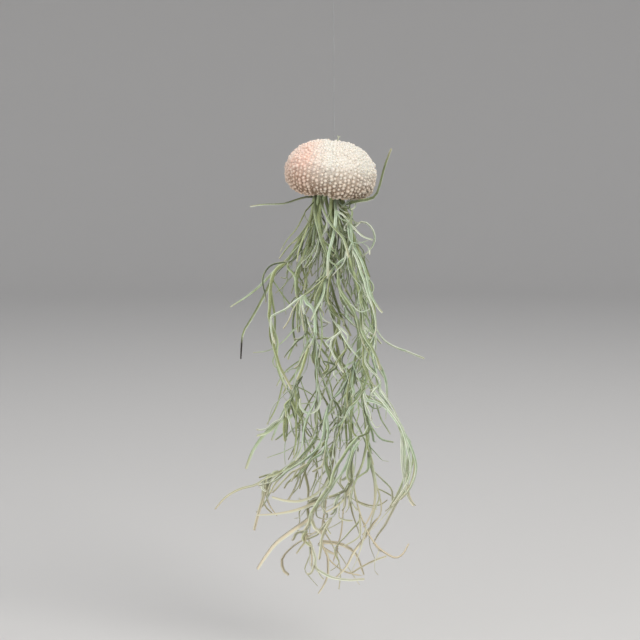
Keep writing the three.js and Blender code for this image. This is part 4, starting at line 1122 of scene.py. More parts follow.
FRONT_STRANDS = [
    # top
    ("sage", 1.05, 0.8, [(-5.4, -0.6), (-4.8, 4.2), (-3.6, 9), (-1.8, 12.6), (0, 16.2), (3, 19.8),
        (6.6, 23.4), (8.4, 26.4), (10.2, 31.8), (11.4, 37.2)]),
    ("sage", 1.2, 0.7, [(-9, 0), (-8.7, 6.6), (-9, 11.4), (-7.8, 17.4), (-6.6, 21.6), (-4.8, 28.2),
        (-2.4, 34.2), (0.6, 39.6), (4.2, 42), (4.8, 47.4), (4.8, 52.2), (6.6, 56.4), (9, 60), (12, 64.2),
        (14.4, 68.4), (16.2, 74.4), (17.4, 80.4), (19.2, 86.4), (21, 90.6), (22.8, 93)]),
    ("mint", 1, 0.8, [(2.4, 1.2), (3.3, 5.4), (3.6, 9.6), (3.3, 15.6), (2.4, 22.2), (0.6, 29.4),
        (-0.6, 34.2), (-1.2, 39.6), (-1.2, 44.4), (-1.5, 48.6)]),
    ("pale", 0.65, 0.45, [(0, 16.2), (-1.8, 19.2), (-3.6, 22.8), (-4.8, 25.2)]),
    ("olive", 0.6, 0.45, [(-9.6, 4.2), (-10.2, 9.6), (-12.6, 16.8), (-16.8, 23.4), (-22.8, 28.8)]),
    ("olive", 0.8, 0.55, [(-9.6, 15.6), (-12.6, 23.4), (-15, 30.6), (-16.2, 35.4), (-17.4, 39.6)]),
    ("sage", 0.7, 0.55, [(-8.4, 18), (-9.6, 24), (-10.2, 30), (-12, 33.6), (-15, 37.8), (-17.4, 40.8)]),
    ("pale", 0.7, 0.45, [(-6, 26.4), (-9, 31.2), (-13.2, 36.6), (-16.8, 40.2), (-19.8, 43.8), (-21, 48)]),
    ("olive", 0.7, 0.55, [(-12, 18), (-12.6, 26.4), (-13.2, 32.4), (-14.4, 37.2)]),
    ("dark", 0.7, 0.55, [(-10.8, 19.2), (-10.2, 26.4), (-11.4, 32.4)]),
    ("pale", 0.6, 0.45, [(-5.4, 30), (-8.4, 34.8), (-11.4, 39.6), (-14.4, 43.2)]),
    ("dark", 0.7, 0.55, [(-18, 25.2), (-16.8, 30), (-19.8, 35.4), (-24, 39.6), (-27.6, 39.6)]),
    ("olive", 0.5, 0.4, [(-10.2, 6), (-13.2, 7.5), (-15, 9.6), (-15, 12), (-13.8, 14.4), (-12, 16.8)]),
    ("pale", 0.7, 0.45, [(2.4, 1.8), (4.8, 5.4), (7.2, 8.4), (10.8, 10.2)]),
    ("mint", 0.65, 0.45, [(3.6, 1.2), (6, 4.2), (8.4, 6), (10.2, 3), (11.4, 1.8)]),
    ("pale", 0.6, 0.45, [(9.6, 2.4), (12.6, 2.7), (15, 4.2), (15, 6.6), (12.6, 8.4)]),
    ("sage", 0.7, 0.45, [(10.2, 4.8), (12.6, 7.8), (13.2, 11.4), (12, 15), (9.6, 18)]),
    ("mint", 0.7, 0.45, [(3.6, 11.4), (6.6, 13.5), (10.2, 15), (13.2, 18), (15, 20.4)]),
    ("pale", 0.7, 0.45, [(4.8, 9), (7.2, 10.8), (10.2, 13.8), (12, 15.6)]),
    ("pale", 0.8, 0.55, [(8.4, 19.8), (12, 20.4), (15.6, 18), (18, 15.6)]),
    ("yellow", 0.6, 0.45, [(12, 15.6), (14.4, 15), (16.8, 16.2)]),
    ("dark", 0.8, 0.6, [(1.2, 1.8), (0.6, 6.6), (0.6, 10.8), (2.4, 14.4), (3.6, 19.2), (4.2, 24)]),
    ("dark", 0.6, 0.45, [(6, 10.2), (4.8, 15.6), (6, 20.4), (9, 24), (12.6, 25.2)]),
    ("pale", 0.6, 0.45, [(15, 21), (18.6, 23.4), (22.2, 25.2), (25.8, 26.4)]),
    ("pale", 0.6, 0.45, [(16.8, 27), (19.8, 28.2), (22.8, 30.6), (24, 33.6), (23.7, 35.4)]),
    ("mint", 0.9, 0.6, [(14.4, 20.4), (15.6, 25.2), (15.6, 28.8), (14.4, 31.8)]),
    ("mint", 0.8, 0.6, [(13.2, 21), (13.2, 26.4), (13.8, 31.8)]),
    ("mint", 1, 0.65, [(13.2, 31.8), (16.2, 33.6), (18.6, 37.8), (20.4, 42.6), (22.2, 48.6), (23.4, 55.2),
        (25.2, 60.6), (27.6, 64.8), (30, 68.4), (31.8, 70.2)]),
    ("pale", 0.75, 0.6, [(14.4, 33.6), (16.8, 39.6), (18.6, 45.6), (20.4, 50.4), (22.2, 57), (24.6, 63.6),
        (26.4, 69.6), (27.6, 75.6), (27.6, 80.4), (26.4, 84.6)]),
    ("mint", 0.9, 0.6, [(13.2, 33.6), (9.6, 36.6), (6, 39.6), (2.4, 43.2), (0, 46.8), (-1.8, 49.8)]),
    ("pale", 0.65, 0.45, [(11.4, 35.4), (8.4, 39.6), (4.2, 44.4), (1.2, 48)]),
    ("pale", 0.65, 0.8, [(12, 36), (10.8, 40.2), (11.4, 44.4), (14.4, 49.2), (17.4, 52.8), (18.6, 55.2),
        (17.4, 58.8), (17.4, 62.4), (18.6, 66.6), (19.5, 70.8), (19.8, 75.6), (19.8, 81)]),
    ("pale", 0.6, 0.45, [(13.8, 36.6), (15.6, 41.4), (15.6, 46.2), (18, 51), (21.6, 55.8)]),
    ("pale", 0.45, 0.4, [(21.6, 55.8), (21, 58.2), (22.8, 61.2), (24, 63.6)]),
    ("dark", 0.55, 0.45, [(12.6, 36), (14.4, 39.6), (15, 44.4)]),
    ("dark", 0.6, 0.45, [(10.8, 45), (10.8, 49.8), (9.6, 54), (9, 57.6)]),
    ("dark", 0.55, 0.45, [(9.6, 36.6), (7.8, 41.4), (6.6, 45.6)]),
    # fans of fine leaves on the left and the right of the top
    ("olive", 0.5, 0.4, [(-10.8, 15), (-18, 23.4), (-25.2, 30.6), (-30.6, 37.8)]),
    ("sage", 0.45, 0.35, [(-9.6, 16.8), (-16.2, 26.4), (-22.2, 33.6), (-27.6, 39.6)]),
    ("dark", 0.5, 0.4, [(-8.4, 19.2), (-13.8, 28.8), (-19.2, 36), (-25.2, 42)]),
    ("olive", 0.45, 0.35, [(-7.8, 22.8), (-12, 31.2), (-16.8, 38.4), (-22.2, 44.4)]),
    ("sage", 0.45, 0.3, [(-7.2, 28.2), (-11.4, 36), (-15.6, 43.2)]),
    ("olive", 0.5, 0.35, [(-13.2, 13.2), (-19.8, 19.2), (-25.8, 26.4), (-30, 33.6)]),
    ("dark", 0.5, 0.4, [(-6, 32.4), (-9.6, 39.6), (-12.6, 46.8)]),
    ("yellow", 0.45, 0.35, [(-14.4, 15.6), (-15.6, 24), (-18.6, 32.4), (-19.8, 39.6)]),
    ("dark", 0.6, 0.45, [(9, 5.4), (13.2, 9.6), (12, 15.6), (7.8, 18)]),
    ("olive", 0.6, 0.4, [(7.2, 9.6), (12, 13.2), (13.2, 19.2), (9.6, 24)]),
    ("dark", 0.6, 0.45, [(15, 4.2), (11.4, 7.2), (6.6, 6.6)]),
    ("dark", 0.6, 0.4, [(6, 13.2), (10.8, 19.2), (16.8, 21.6), (21.6, 25.2)]),
    ("mint", 0.55, 0.4, [(7.8, 19.2), (12, 26.4), (17.4, 28.2), (22.8, 26.4)]),
    ("dark", 0.6, 0.45, [(4.8, 15.6), (6.6, 24), (10.2, 31.2)]),
    # middle
    ("yellow", 1.05, 0.8, [(-0.6, 48), (-4.8, 51), (-8.4, 54), (-12.6, 57.6), (-16.2, 60),
        (-19.2, 61.8)]),
    ("sage", 1.05, 0.75, [(-2.4, 36.6), (-3, 41.4), (-2.4, 47.4), (-3, 52.2), (-4.2, 56.4), (-3, 60.6),
        (-1.2, 65.4), (1.2, 69.6), (4.8, 72.6), (8.4, 75), (7.8, 78.6)]),
    ("pale", 0.7, 0.45, [(-0.6, 67.2), (0.6, 72), (2.4, 75.6), (4.2, 78.6)]),
    ("dark", 0.75, 0.55, [(-4.2, 55.8), (-6, 61.2), (-6.6, 67.2), (-7.8, 72)]),
    ("pale", 0.6, 0.45, [(-3, 56.4), (-4.2, 62.4), (-5.4, 67.2), (-5.4, 71.4), (-3, 74.4), (0.6, 76.5)]),
    ("olive", 0.85, 0.55, [(-2.4, 50.4), (-1.2, 56.4), (-1.2, 62.4), (0, 65.4)]),
    ("mint", 1.05, 0.8, [(-18.6, 61.8), (-14.4, 63.6), (-10.8, 66.6), (-9, 71.4), (-9, 77.4),
        (-8.7, 82.2), (-10.2, 87), (-13.2, 91.2)]),
    ("yellow", 0.9, 0.6, [(-6, 52.8), (-7.8, 58.2), (-9, 63.6), (-8.4, 68.4)]),
    ("sage", 0.9, 0.75, [(4.8, 53.4), (6.6, 58.2), (9.6, 63), (12.6, 67.8), (15.6, 72.6), (18, 78.6),
        (19.8, 84.6), (22.2, 88.8), (24.6, 91.8), (27.6, 96), (29.4, 100.8), (30.6, 105)]),
    ("dark", 0.85, 0.55, [(6.6, 61.8), (9, 66), (12, 70.2), (15, 73.2)]),
    ("pale", 0.7, 0.45, [(9.6, 70.8), (11.4, 73.8), (13.8, 76.2), (15.6, 78.3)]),
    ("dark", 0.45, 0.4, [(9.6, 70.8), (9, 74.4), (9, 77.4)]),
    ("pale", 0.5, 0.4, [(15.6, 68.7), (18, 69.3), (21.6, 68.7), (24, 67.5)]),
    ("sage", 1, 0.75, [(19.2, 69.6), (18.6, 74.4), (19.2, 80.4), (21.6, 85.8), (24.6, 90), (27, 94.8),
        (28.8, 99.6), (30, 104.4)]),
    # left
    ("dark", 0.6, 0.45, [(-28.2, 40.2), (-33.6, 40.8), (-37.2, 43.2), (-39.6, 46.8), (-40.5, 51),
        (-39.9, 55.2), (-38.7, 59.4), (-38.4, 64.2)]),
    ("olive", 1.05, 0.75, [(-28.2, 41.4), (-31.8, 43.8), (-34.2, 47.4), (-35.4, 52.8), (-36, 59.4),
        (-36, 66), (-36.6, 72), (-35.4, 77.4), (-34.2, 83.4), (-33.6, 90.6), (-31.8, 96.6), (-30, 102.6),
        (-27.6, 107.4), (-24.6, 112.8), (-22.8, 116.4)]),
    ("sage", 1.05, 0.75, [(-28.2, 40.8), (-25.2, 43.2), (-22.2, 46.2), (-20.4, 50.4), (-20.4, 56.4),
        (-19.8, 61.2)]),
    ("dark", 0.45, 0.4, [(-28.8, 42), (-30.6, 45), (-33, 48)]),
    ("olive", 0.45, 0.4, [(-24.6, 43.8), (-25.8, 47.4), (-25.8, 51), (-28.2, 54.6), (-31.2, 57),
        (-33, 58.5)]),
    ("olive", 0.4, 0.4, [(-22.8, 48), (-26.4, 49.2), (-30, 48.6)]),
    ("pale", 0.75, 0.6, [(-19.8, 62.4), (-22.8, 64.8), (-26.4, 67.8), (-30.6, 69.9), (-33.6, 71.4),
        (-35.4, 73.2), (-35.4, 78), (-34.8, 83.4), (-33, 88.8)]),
    ("tan", 0.65, 0.45, [(-20.4, 63.6), (-22.2, 68.4), (-24, 73.2), (-26.4, 77.4), (-28.2, 79.8)]),
    ("pale", 0.65, 0.45, [(-19.2, 64.2), (-18, 69.6), (-16.8, 75), (-16.2, 79.2)]),
    ("pale", 0.65, 0.45, [(-18, 64.2), (-15.6, 69.6), (-13.2, 75), (-11.4, 79.8), (-10.2, 82.8)]),
    ("dark", 0.75, 0.6, [(-14.4, 75.6), (-13.8, 80.4), (-15.6, 84), (-18.6, 86.1), (-21.6, 85.5)]),
    ("tan", 0.65, 0.45, [(-17.4, 69.6), (-16.2, 75.6), (-15.6, 81)]),
    ("olive", 0.65, 0.45, [(-21.6, 68.4), (-19.8, 75.6), (-19.2, 82.2)]),
    ("pale", 0.6, 0.4, [(-18, 86.4), (-15.6, 88.2), (-13.8, 90.6)]),
    ("sage", 0.75, 0.6, [(-20.4, 87.6), (-22.8, 91.8), (-24.6, 96), (-25.2, 98.4)]),
    ("dark", 0.45, 0.4, [(-21, 89.4), (-25.2, 93.6), (-27.6, 97.2)]),
    # centre
    ("tan", 0.75, 0.6, [(-13.2, 91.2), (-15.6, 94.8), (-17.4, 98.4), (-19.2, 102), (-21.6, 103.2)]),
    ("pale", 0.7, 0.6, [(-13.2, 91.8), (-12.9, 96), (-13.2, 100.2), (-14.4, 104.4), (-16.8, 108),
        (-19.8, 110.4)]),
    ("yellow", 1.05, 0.8, [(-15, 96), (-16.2, 102), (-18, 106.8), (-19.8, 110.4)]),
    ("dark", 0.95, 0.65, [(-19.8, 111), (-21.6, 116.4), (-22.8, 121.2), (-23.4, 128.4)]),
    ("sage", 0.85, 0.65, [(-20.4, 116.4), (-22.8, 120.6), (-24.6, 124.8), (-26.4, 129.6)]),
    ("pale", 0.65, 0.4, [(-22.2, 115.2), (-25.8, 117.6), (-29.4, 121.2), (-31.8, 123.6), (-34.2, 126.6),
        (-36, 131.4), (-37.2, 137.4)]),
    ("mint", 0.95, 0.75, [(-8.4, 88.8), (-7.8, 93.6), (-8.4, 98.4), (-8.1, 104.4), (-7.8, 110.4),
        (-7.8, 116.4), (-8.4, 121.8), (-10.2, 126), (-12.6, 130.2), (-14.4, 134.4), (-15.6, 139.2),
        (-16.2, 144.6), (-16.8, 150), (-18.6, 154.8), (-21, 159)]),
    ("dark", 1.05, 0.75, [(-10.2, 85.8), (-9.6, 91.2), (-10.8, 96), (-9.6, 100.8)]),
    ("pale", 0.6, 0.4, [(-8.4, 88.8), (-6.6, 90.6), (-6.3, 93.6), (-6.6, 97.2)]),
    ("sage", 0.95, 0.65, [(-7.8, 92.4), (-7.2, 98.4), (-6, 104.4), (-3.6, 110.4), (-0.6, 116.4),
        (2.4, 121.8), (6.6, 124.8), (10.8, 127.2)]),
    ("dark", 0.95, 0.65, [(-6.6, 95.4), (-6.6, 103.2), (-6, 109.2)]),
    ("olive", 0.45, 0.4, [(-6, 98.4), (-3, 101.4), (0, 103.2)]),
    ("dark", 0.85, 0.65, [(4.2, 102), (0.6, 105), (-3, 108), (-5.4, 111)]),
    ("olive", 0.75, 0.6, [(3, 101.4), (-1.2, 103.8), (-4.8, 106.8)]),
    ("pale", 0.75, 0.6, [(6.6, 81), (3, 84), (0.6, 87.6), (0.6, 91.2), (1.8, 94.8), (4.2, 99), (6, 102.6),
        (8.4, 106.2)]),
    ("pale", 0.5, 0.4, [(-2.4, 87.6), (-0.6, 90), (0.6, 92.4)]),
    ("olive", 0.65, 0.45, [(4.8, 81.6), (2.4, 84), (-1.2, 85.5), (-6, 85.5), (-9.6, 86.1)]),
    ("pale", 0.7, 0.45, [(7.2, 79.8), (9.6, 82.2), (10.8, 85.2), (10.5, 88.2)]),
    ("pale", 0.65, 0.45, [(6, 80.4), (8.4, 85.2), (11.4, 90), (14.4, 93.6), (16.8, 96.6), (18.6, 98.4)]),
    ("olive", 0.6, 0.45, [(18.6, 97.8), (14.4, 101.4), (10.2, 105.6), (6, 110.4), (3, 114.6),
        (1.2, 118.2)]),
    ("olive", 0.85, 0.6, [(9.6, 91.8), (6.6, 96), (4.2, 99.6), (3.6, 102)]),
    ("pale", 0.65, 0.45, [(9, 92.4), (10.8, 96.6), (11.4, 98.4)]),
    ("dark", 0.65, 0.45, [(9, 85.2), (9, 92.4), (7.2, 97.8), (7.8, 103.2)]),
    ("mint", 0.7, 0.45, [(13.8, 96.6), (13.8, 100.2), (15, 103.8), (16.8, 108.6), (18.6, 112.8),
        (19.2, 116.4)]),
    ("mint", 0.95, 0.75, [(13.8, 102.6), (13.2, 108), (13.2, 113.4), (14.4, 117), (13.2, 121.2)]),
    ("dark", 0.85, 0.6, [(14.4, 103.2), (15.6, 109.2), (16.8, 114.6)]),
    ("dark", 0.95, 0.65, [(12, 105.6), (10.2, 111.6), (8.4, 117), (7.2, 122.4), (7.2, 128.4)]),
    ("olive", 0.95, 0.65, [(10.2, 109.2), (10.8, 115.2), (10.2, 121.2), (10.8, 126.6)]),
    ("pale", 0.65, 0.45, [(2.4, 106.8), (3.6, 109.2), (4.2, 111.6)]),
    ("pale", 0.65, 0.45, [(4.2, 110.4), (6, 112.8), (6.3, 115.8)]),
    ("mint", 0.7, 0.45, [(10.2, 113.4), (6.6, 117), (3.6, 120), (1.8, 121.8), (-0.6, 125.4), (-2.4, 129),
        (-3.6, 133.8)]),
    ("pale", 0.6, 0.4, [(-6, 112.8), (-3, 115.2)]),
    # right
    ("pale", 0.65, 0.45, [(19.8, 81), (22.8, 84), (25.2, 85.2)]),
    ("pale", 0.6, 0.4, [(20.4, 79.8), (24, 81.6), (26.4, 83.4)]),
    ("pale", 0.75, 0.45, [(22.2, 92.4), (21, 95.4), (21, 99), (22.8, 102.6), (25.8, 105.6), (28.8, 108.6),
        (30.6, 111.6), (29.4, 114), (26.4, 115.8), (23.4, 117)]),
    ("olive", 0.65, 0.45, [(21.6, 92.4), (19.8, 96.6), (19.8, 100.8), (21.6, 105), (23.4, 109.2),
        (25.2, 112.2), (26.4, 114.6)]),
    ("yellow", 0.75, 0.6, [(22.8, 93.6), (24.6, 96), (27, 100.2), (28.2, 103.8)]),
    ("pale", 0.45, 0.4, [(26.4, 108), (25.2, 110.4), (26.4, 113.4)]),
    ("pale", 0.65, 0.45, [(27.6, 115.8), (30, 118.8), (33, 122.4), (34.8, 125.4), (35.4, 128.4)]),
    ("pale", 0.6, 0.4, [(24.6, 119.4), (27.6, 119.4)]),
    ("pale", 0.7, 0.45, [(30.6, 119.4), (34.2, 121.8), (37.2, 126), (39.6, 130.8), (42, 136.2),
        (44.4, 141.6)]),
    ("yellow", 0.95, 0.75, [(24, 113.4), (21.6, 115.8), (19.2, 118.2), (18, 121.2), (15.6, 123.6),
        (12.6, 126)]),
    ("mint", 1.05, 0.8, [(18.6, 120.6), (22.2, 122.4), (25.8, 123.3), (30, 124.8), (33.6, 127.2),
        (36.6, 129.6), (39.6, 132.6), (42, 136.8), (44.4, 141.6)]),
    ("pale", 0.85, 0.6, [(22.8, 116.4), (24.6, 119.4), (26.4, 121.8), (29.4, 124.2)]),
    ("pale", 0.75, 0.45, [(43.2, 144.6), (43.8, 151.2), (43.8, 158.4), (44.4, 165.6), (43.8, 172.8),
        (42.6, 177.6), (40.2, 181.8), (36.6, 186.6)]),
    ("sage", 0.75, 0.45, [(46.2, 146.4), (48.6, 151.2), (49.8, 156.6), (49.2, 162), (46.8, 168),
        (45.6, 173.4), (44.4, 177.6), (40.8, 181.8), (36, 186)]),
    ("pale", 0.6, 0.4, [(45, 149.4), (45.6, 156.6), (45, 163.2), (46.2, 169.2)]),
    ("pale", 0.65, 0.45, [(21.6, 123.6), (21.6, 127.8), (23.4, 132), (24.6, 135)]),
    ("dark", 0.65, 0.45, [(19.8, 123), (20.4, 128.4), (22.2, 133.2), (22.8, 137.4)]),
    ("pale", 0.6, 0.4, [(22.2, 127.2), (24, 129.6), (24.6, 133.2)]),
    ("pale", 0.45, 0.4, [(24.6, 136.2), (27, 138.3), (29.4, 138.3), (30.6, 137.1)]),
    ("dark", 0.85, 0.6, [(23.4, 141), (19.8, 143.4), (15.6, 145.2), (12, 147.6), (9.6, 150.6)]),
    ("pale", 0.65, 0.45, [(22.8, 141.6), (19.2, 145.2), (16.2, 148.2), (14.4, 151.8)]),
    ("olive", 0.6, 0.45, [(20.4, 145.2), (22.2, 149.4), (23.4, 153.6)]),
    ("pale", 0.65, 0.45, [(9, 134.4), (12.6, 133.8), (15, 137.4), (17.4, 141), (18.6, 143.4)]),
    ("olive", 0.75, 0.6, [(13.8, 138), (13.8, 141.6), (16.2, 144.6), (18, 146.4)]),
    ("mint", 0.95, 0.6, [(13.2, 124.8), (11.4, 128.4), (9.6, 132), (7.2, 135.6), (4.2, 138), (0, 139.8)]),
    ("yellow", 0.65, 0.45, [(8.4, 134.4), (6.6, 139.2), (4.8, 144), (3.6, 148.2), (4.8, 151.2),
        (6.6, 152.4)]),
    ("pale", 0.6, 0.4, [(0.6, 129), (3, 131.4), (6, 132.6), (9.6, 132.6)]),
    ("dark", 0.75, 0.6, [(4.8, 125.4), (4.8, 131.4), (4.2, 137.4), (3, 143.4), (2.4, 148.2)]),
    ("dark", 0.85, 0.65, [(5.4, 122.4), (6, 128.4), (6, 134.4)]),
    ("pale", 0.65, 0.45, [(2.4, 144), (2.4, 150), (1.8, 154.8), (3, 159), (4.2, 163.2)]),
    ("sage", 0.45, 0.4, [(16.8, 125.4), (17.4, 129.6), (16.2, 134.4), (15, 138)]),
    ("pale", 0.85, 0.6, [(24.4, 120.5), (35.6, 128), (43.1, 139.2), (46.8, 152.4), (48.6, 163.7),
        (46, 173), (37.5, 186)]),
    ("mint", 0.8, 0.6, [(37.5, 129.9), (45, 143), (50.6, 156), (51.6, 165.6), (47.8, 175.8),
        (42, 182.4)]),
    ("sage", 0.8, 0.6, [(34.7, 126), (42.2, 140.2), (45, 154.2), (46, 163.7), (41.3, 176.8),
        (35.6, 187.1)]),
    ("pale", 0.7, 0.55, [(42.2, 146.8), (43.1, 159.9), (45, 173), (46.8, 180.6), (51.6, 186)]),
    # lower left
    ("yellow", 1.15, 0.9, [(-27, 125.4), (-26.4, 129), (-26.4, 133.2)]),
    ("pale", 0.7, 0.5, [(-26.4, 132), (-29.4, 133.8), (-33, 135.6), (-36, 138), (-38.4, 139.8),
        (-41.4, 140.4), (-44.4, 140.1)]),
    ("pale", 0.7, 0.5, [(-25.8, 131.4), (-24, 135.6), (-22.8, 139.8), (-21, 144.6)]),
    ("olive", 1.05, 0.7, [(-27, 133.2), (-27.6, 139.2), (-27, 147.6)]),
    ("olive", 0.7, 0.5, [(-25.8, 133.2), (-25.8, 140.4), (-26.4, 147)]),
    ("olive", 1.15, 0.85, [(-20.4, 128.4), (-18.6, 131.4), (-16.8, 134.4), (-16.2, 138.6)]),
    ("olive", 0.7, 0.5, [(-22.2, 130.2), (-20.4, 134.4), (-18, 139.2)]),
    ("dark", 1, 0.7, [(-16.2, 139.2), (-15, 144), (-16.2, 148.8), (-17.4, 153.6)]),
    ("dark", 0.65, 0.5, [(-15.6, 139.8), (-12.6, 141), (-10.8, 144.6), (-12.6, 147)]),
    ("olive", 1, 0.65, [(-18, 141.6), (-18.6, 147.6), (-19.8, 153.6), (-22.2, 157.8)]),
    ("yellow", 1.15, 0.7, [(-8.4, 126.6), (-9, 132), (-8.4, 138), (-7.2, 142.8), (-8.4, 147.6),
        (-11.4, 151.8), (-15, 156), (-19.2, 160.2), (-24, 163.2), (-28.8, 165.6), (-34.2, 168),
        (-39, 169.8), (-42, 172.2), (-43.2, 174.6)]),
    ("dark", 0.85, 0.65, [(-7.2, 127.2), (-6, 132), (-5.4, 136.8), (-6, 140.4)]),
    ("mint", 1.15, 0.7, [(-1.2, 129.6), (-3, 134.4), (-3.6, 139.2), (-4.2, 144), (-6, 148.8), (-9, 153),
        (-12.6, 156), (-16.8, 159.6), (-21.6, 162.6), (-26.4, 165.6), (-30.6, 169.2), (-34.8, 171.6),
        (-39, 172.8), (-43.2, 174)]),
    ("mint", 1, 0.7, [(-3, 135), (-1.2, 139.2), (-1.2, 144), (-2.4, 148.2), (-1.8, 152.4), (-0.6, 156.6),
        (1.2, 160.2)]),
    ("sage", 1, 0.65, [(-1.8, 152.4), (-3, 157.8), (-2.4, 163.2), (-0.6, 168.6), (0.6, 172.8),
        (0, 176.4)]),
    ("pale", 1, 0.65, [(-0.6, 155.4), (0.6, 160.8), (1.8, 166.2), (2.4, 171.6)]),
    ("sage", 0.85, 0.65, [(-9, 147), (-12.6, 150.6), (-16.2, 154.8), (-19.8, 159)]),
    ("pale", 0.7, 0.5, [(-6, 151.8), (-8.4, 151.8), (-10.8, 153.6)]),
    ("mint", 1, 0.65, [(-4.8, 154.2), (-8.4, 156.6), (-11.4, 158.4)]),
    ("dark", 0.7, 0.5, [(-11.4, 156), (-12.6, 160.2), (-15, 164.4), (-18, 168), (-21, 171)]),
    ("sage", 0.85, 0.65, [(-13.8, 160.2), (-16.2, 164.4), (-19.2, 168.6)]),
    ("tan", 0.85, 0.5, [(-16.2, 163.2), (-19.8, 164.4), (-22.8, 165.6), (-25.8, 168.6), (-28.8, 171.6),
        (-31.8, 175.2), (-34.8, 178.2)]),
    ("tan", 0.65, 0.5, [(-22.8, 165.6), (-22.2, 169.2), (-23.4, 171.6)]),
    ("tan", 0.85, 0.5, [(-27.6, 166.2), (-31.2, 170.4), (-34.2, 174.6), (-36, 178.8)]),
    ("tan", 0.85, 0.5, [(-31.8, 168), (-34.8, 171.6), (-36.6, 175.8), (-37.8, 180)]),
    ("pale", 0.85, 0.65, [(-40.8, 174.6), (-39.6, 176.4), (-37.8, 177)]),
    ("sage", 0.95, 0.6, [(-3.7, 131.8), (-6.4, 141), (-11.6, 150.4), (-19.8, 159.6), (-27.7, 165),
        (-35.6, 170.4), (-42.4, 175.7)]),
    ("mint", 0.95, 0.6, [(-1, 133), (-4.3, 145), (-10.3, 154.4), (-17, 159.7), (-23.6, 163.7),
        (-30.4, 169), (-35.6, 177), (-39.7, 185), (-44.4, 190)]),
    ("pale", 0.85, 0.55, [(-7.7, 129), (-9, 142.4), (-15.7, 149), (-21, 157), (-30.4, 166.4),
        (-38.3, 169)]),
    ("olive", 0.9, 0.6, [(-2.3, 150.4), (-7.7, 153), (-13, 161), (-18.3, 166.4), (-25, 171.7),
        (-27.7, 175.7)]),
    ("yellow", 0.9, 0.6, [(-10.3, 123.8), (-7.7, 134.4), (-9.7, 142.4), (-13, 149)]),
    # foot
    ("sage", 1.2, 0.95, [(13.2, 147), (10.8, 151.8), (7.8, 156.6), (4.2, 162), (1.8, 167.4), (0.6, 172.8),
        (-2.4, 177), (-6, 181.8), (-9, 186.6), (-11.4, 190.8), (-12.6, 196.2), (-15.6, 201)]),
    ("mint", 1.2, 0.9, [(15, 150.6), (12, 156), (10.2, 160.8), (7.2, 166.2), (3.6, 171), (0.6, 175.8),
        (-3, 180.6), (-5.4, 185.4), (-3.6, 188.4), (-1.8, 190.2)]),
    ("sage", 1.05, 0.8, [(6, 156.6), (5.4, 162), (4.2, 166.8), (1.8, 172.2), (-1.2, 176.4), (-4.8, 181.2),
        (-7.8, 187.2), (-7.8, 192), (-4.8, 193.2), (-1.2, 193.8)]),
    ("dark", 0.9, 0.65, [(0, 175.8), (-3, 178.8), (-5.4, 183)]),
    ("dark", 1.2, 0.95, [(13.2, 152.4), (13.2, 158.4), (12.6, 164.4), (13.2, 170.4), (12, 174.6)]),
    ("pale", 0.9, 0.65, [(15, 152.4), (15.6, 158.4), (15, 164.4), (13.8, 170.4)]),
    ("sage", 1.05, 0.8, [(10.8, 155.4), (11.4, 161.4), (10.2, 166.8), (12, 172.2)]),
    ("sage", 1.2, 0.95, [(23.4, 159.6), (22.8, 163.8), (19.2, 166.8), (15.6, 169.8), (13.8, 173.4),
        (12.6, 176.4), (10.2, 180)]),
    ("dark", 1.05, 0.8, [(13.2, 173.4), (9.6, 175.8), (6, 178.2), (1.8, 180), (-1.2, 180.6)]),
    ("pale", 0.9, 0.65, [(9, 176.4), (7.8, 180.6), (6.6, 184.2), (5.4, 187.8), (6, 190.8)]),
    ("tan", 0.9, 0.55, [(9.6, 180), (11.4, 183.6), (11.1, 187.2), (9, 190.2)]),
    ("tan", 0.8, 0.55, [(8.4, 181.8), (9, 185.4), (7.2, 189)]),
    ("mint", 1.2, 0.8, [(2.4, 180.6), (3, 185.4), (2.4, 189.6), (0, 191.4)]),
    ("pale", 0.9, 0.65, [(4.8, 181.2), (1.8, 181.8), (-1.8, 181.8), (-4.8, 183.6)]),
    ("mint", 1.05, 0.65, [(4.2, 185.4), (3.6, 190.2), (0.6, 193.2), (-3, 193.8)]),
    ("pale", 1.05, 0.65, [(-6.6, 186.6), (-3.6, 189), (-1.8, 190.8), (-1.8, 193.8)]),
    ("tan", 0.8, 0.55, [(5.4, 192.6), (7.8, 194.1), (10.8, 194.7), (13.8, 194.7)]),
    ("tan", 0.65, 0.55, [(6, 171.6), (7.2, 174), (8.4, 175.8)]),
    ("pale", 0.65, 0.55, [(14.4, 177.6), (12.6, 181.8), (14.4, 186), (16.2, 189)]),
    ("olive", 1.05, 0.65, [(17.4, 195), (13.2, 199.8), (9, 204.6), (5.4, 208.2), (3, 211.8), (3.6, 216),
        (5.4, 219.6), (3.6, 222.6), (0, 225)]),
    ("tan", 0.8, 0.65, [(17.4, 195.6), (18.3, 200.4), (17.7, 204), (15, 206.4), (10.8, 208.8),
        (7.8, 210)]),
    ("tan", 0.9, 0.65, [(-4.8, 162), (-7.8, 163.8), (-10.8, 165.6)]),
    ("tan", 0.8, 0.55, [(-10.2, 166.2), (-9, 168.6), (-6, 171.6), (-2.4, 174), (0.6, 175.8)]),
    ("tan", 1.2, 0.9, [(-3.6, 155.4), (-4.2, 161.4), (-4.8, 167.4), (-6, 173.4), (-6.6, 178.8)]),
    ("tan", 1.05, 0.8, [(-12.6, 184.2), (-13.2, 189.6), (-12.6, 194.4), (-12, 198.6)]),
    ("mint", 1.2, 0.95, [(-10.8, 194.4), (-12, 198.6), (-15.6, 201.6), (-17.4, 203.4)]),
    ("yellow", 1.2, 0.95, [(-17.4, 202.8), (-16.2, 205.2), (-13.8, 208.2), (-10.8, 210.6)]),
    ("pale", 1.05, 0.65, [(-10.8, 211.2), (-12, 214.8), (-12.3, 218.4), (-11.4, 221.4), (-10.2, 223.8)]),
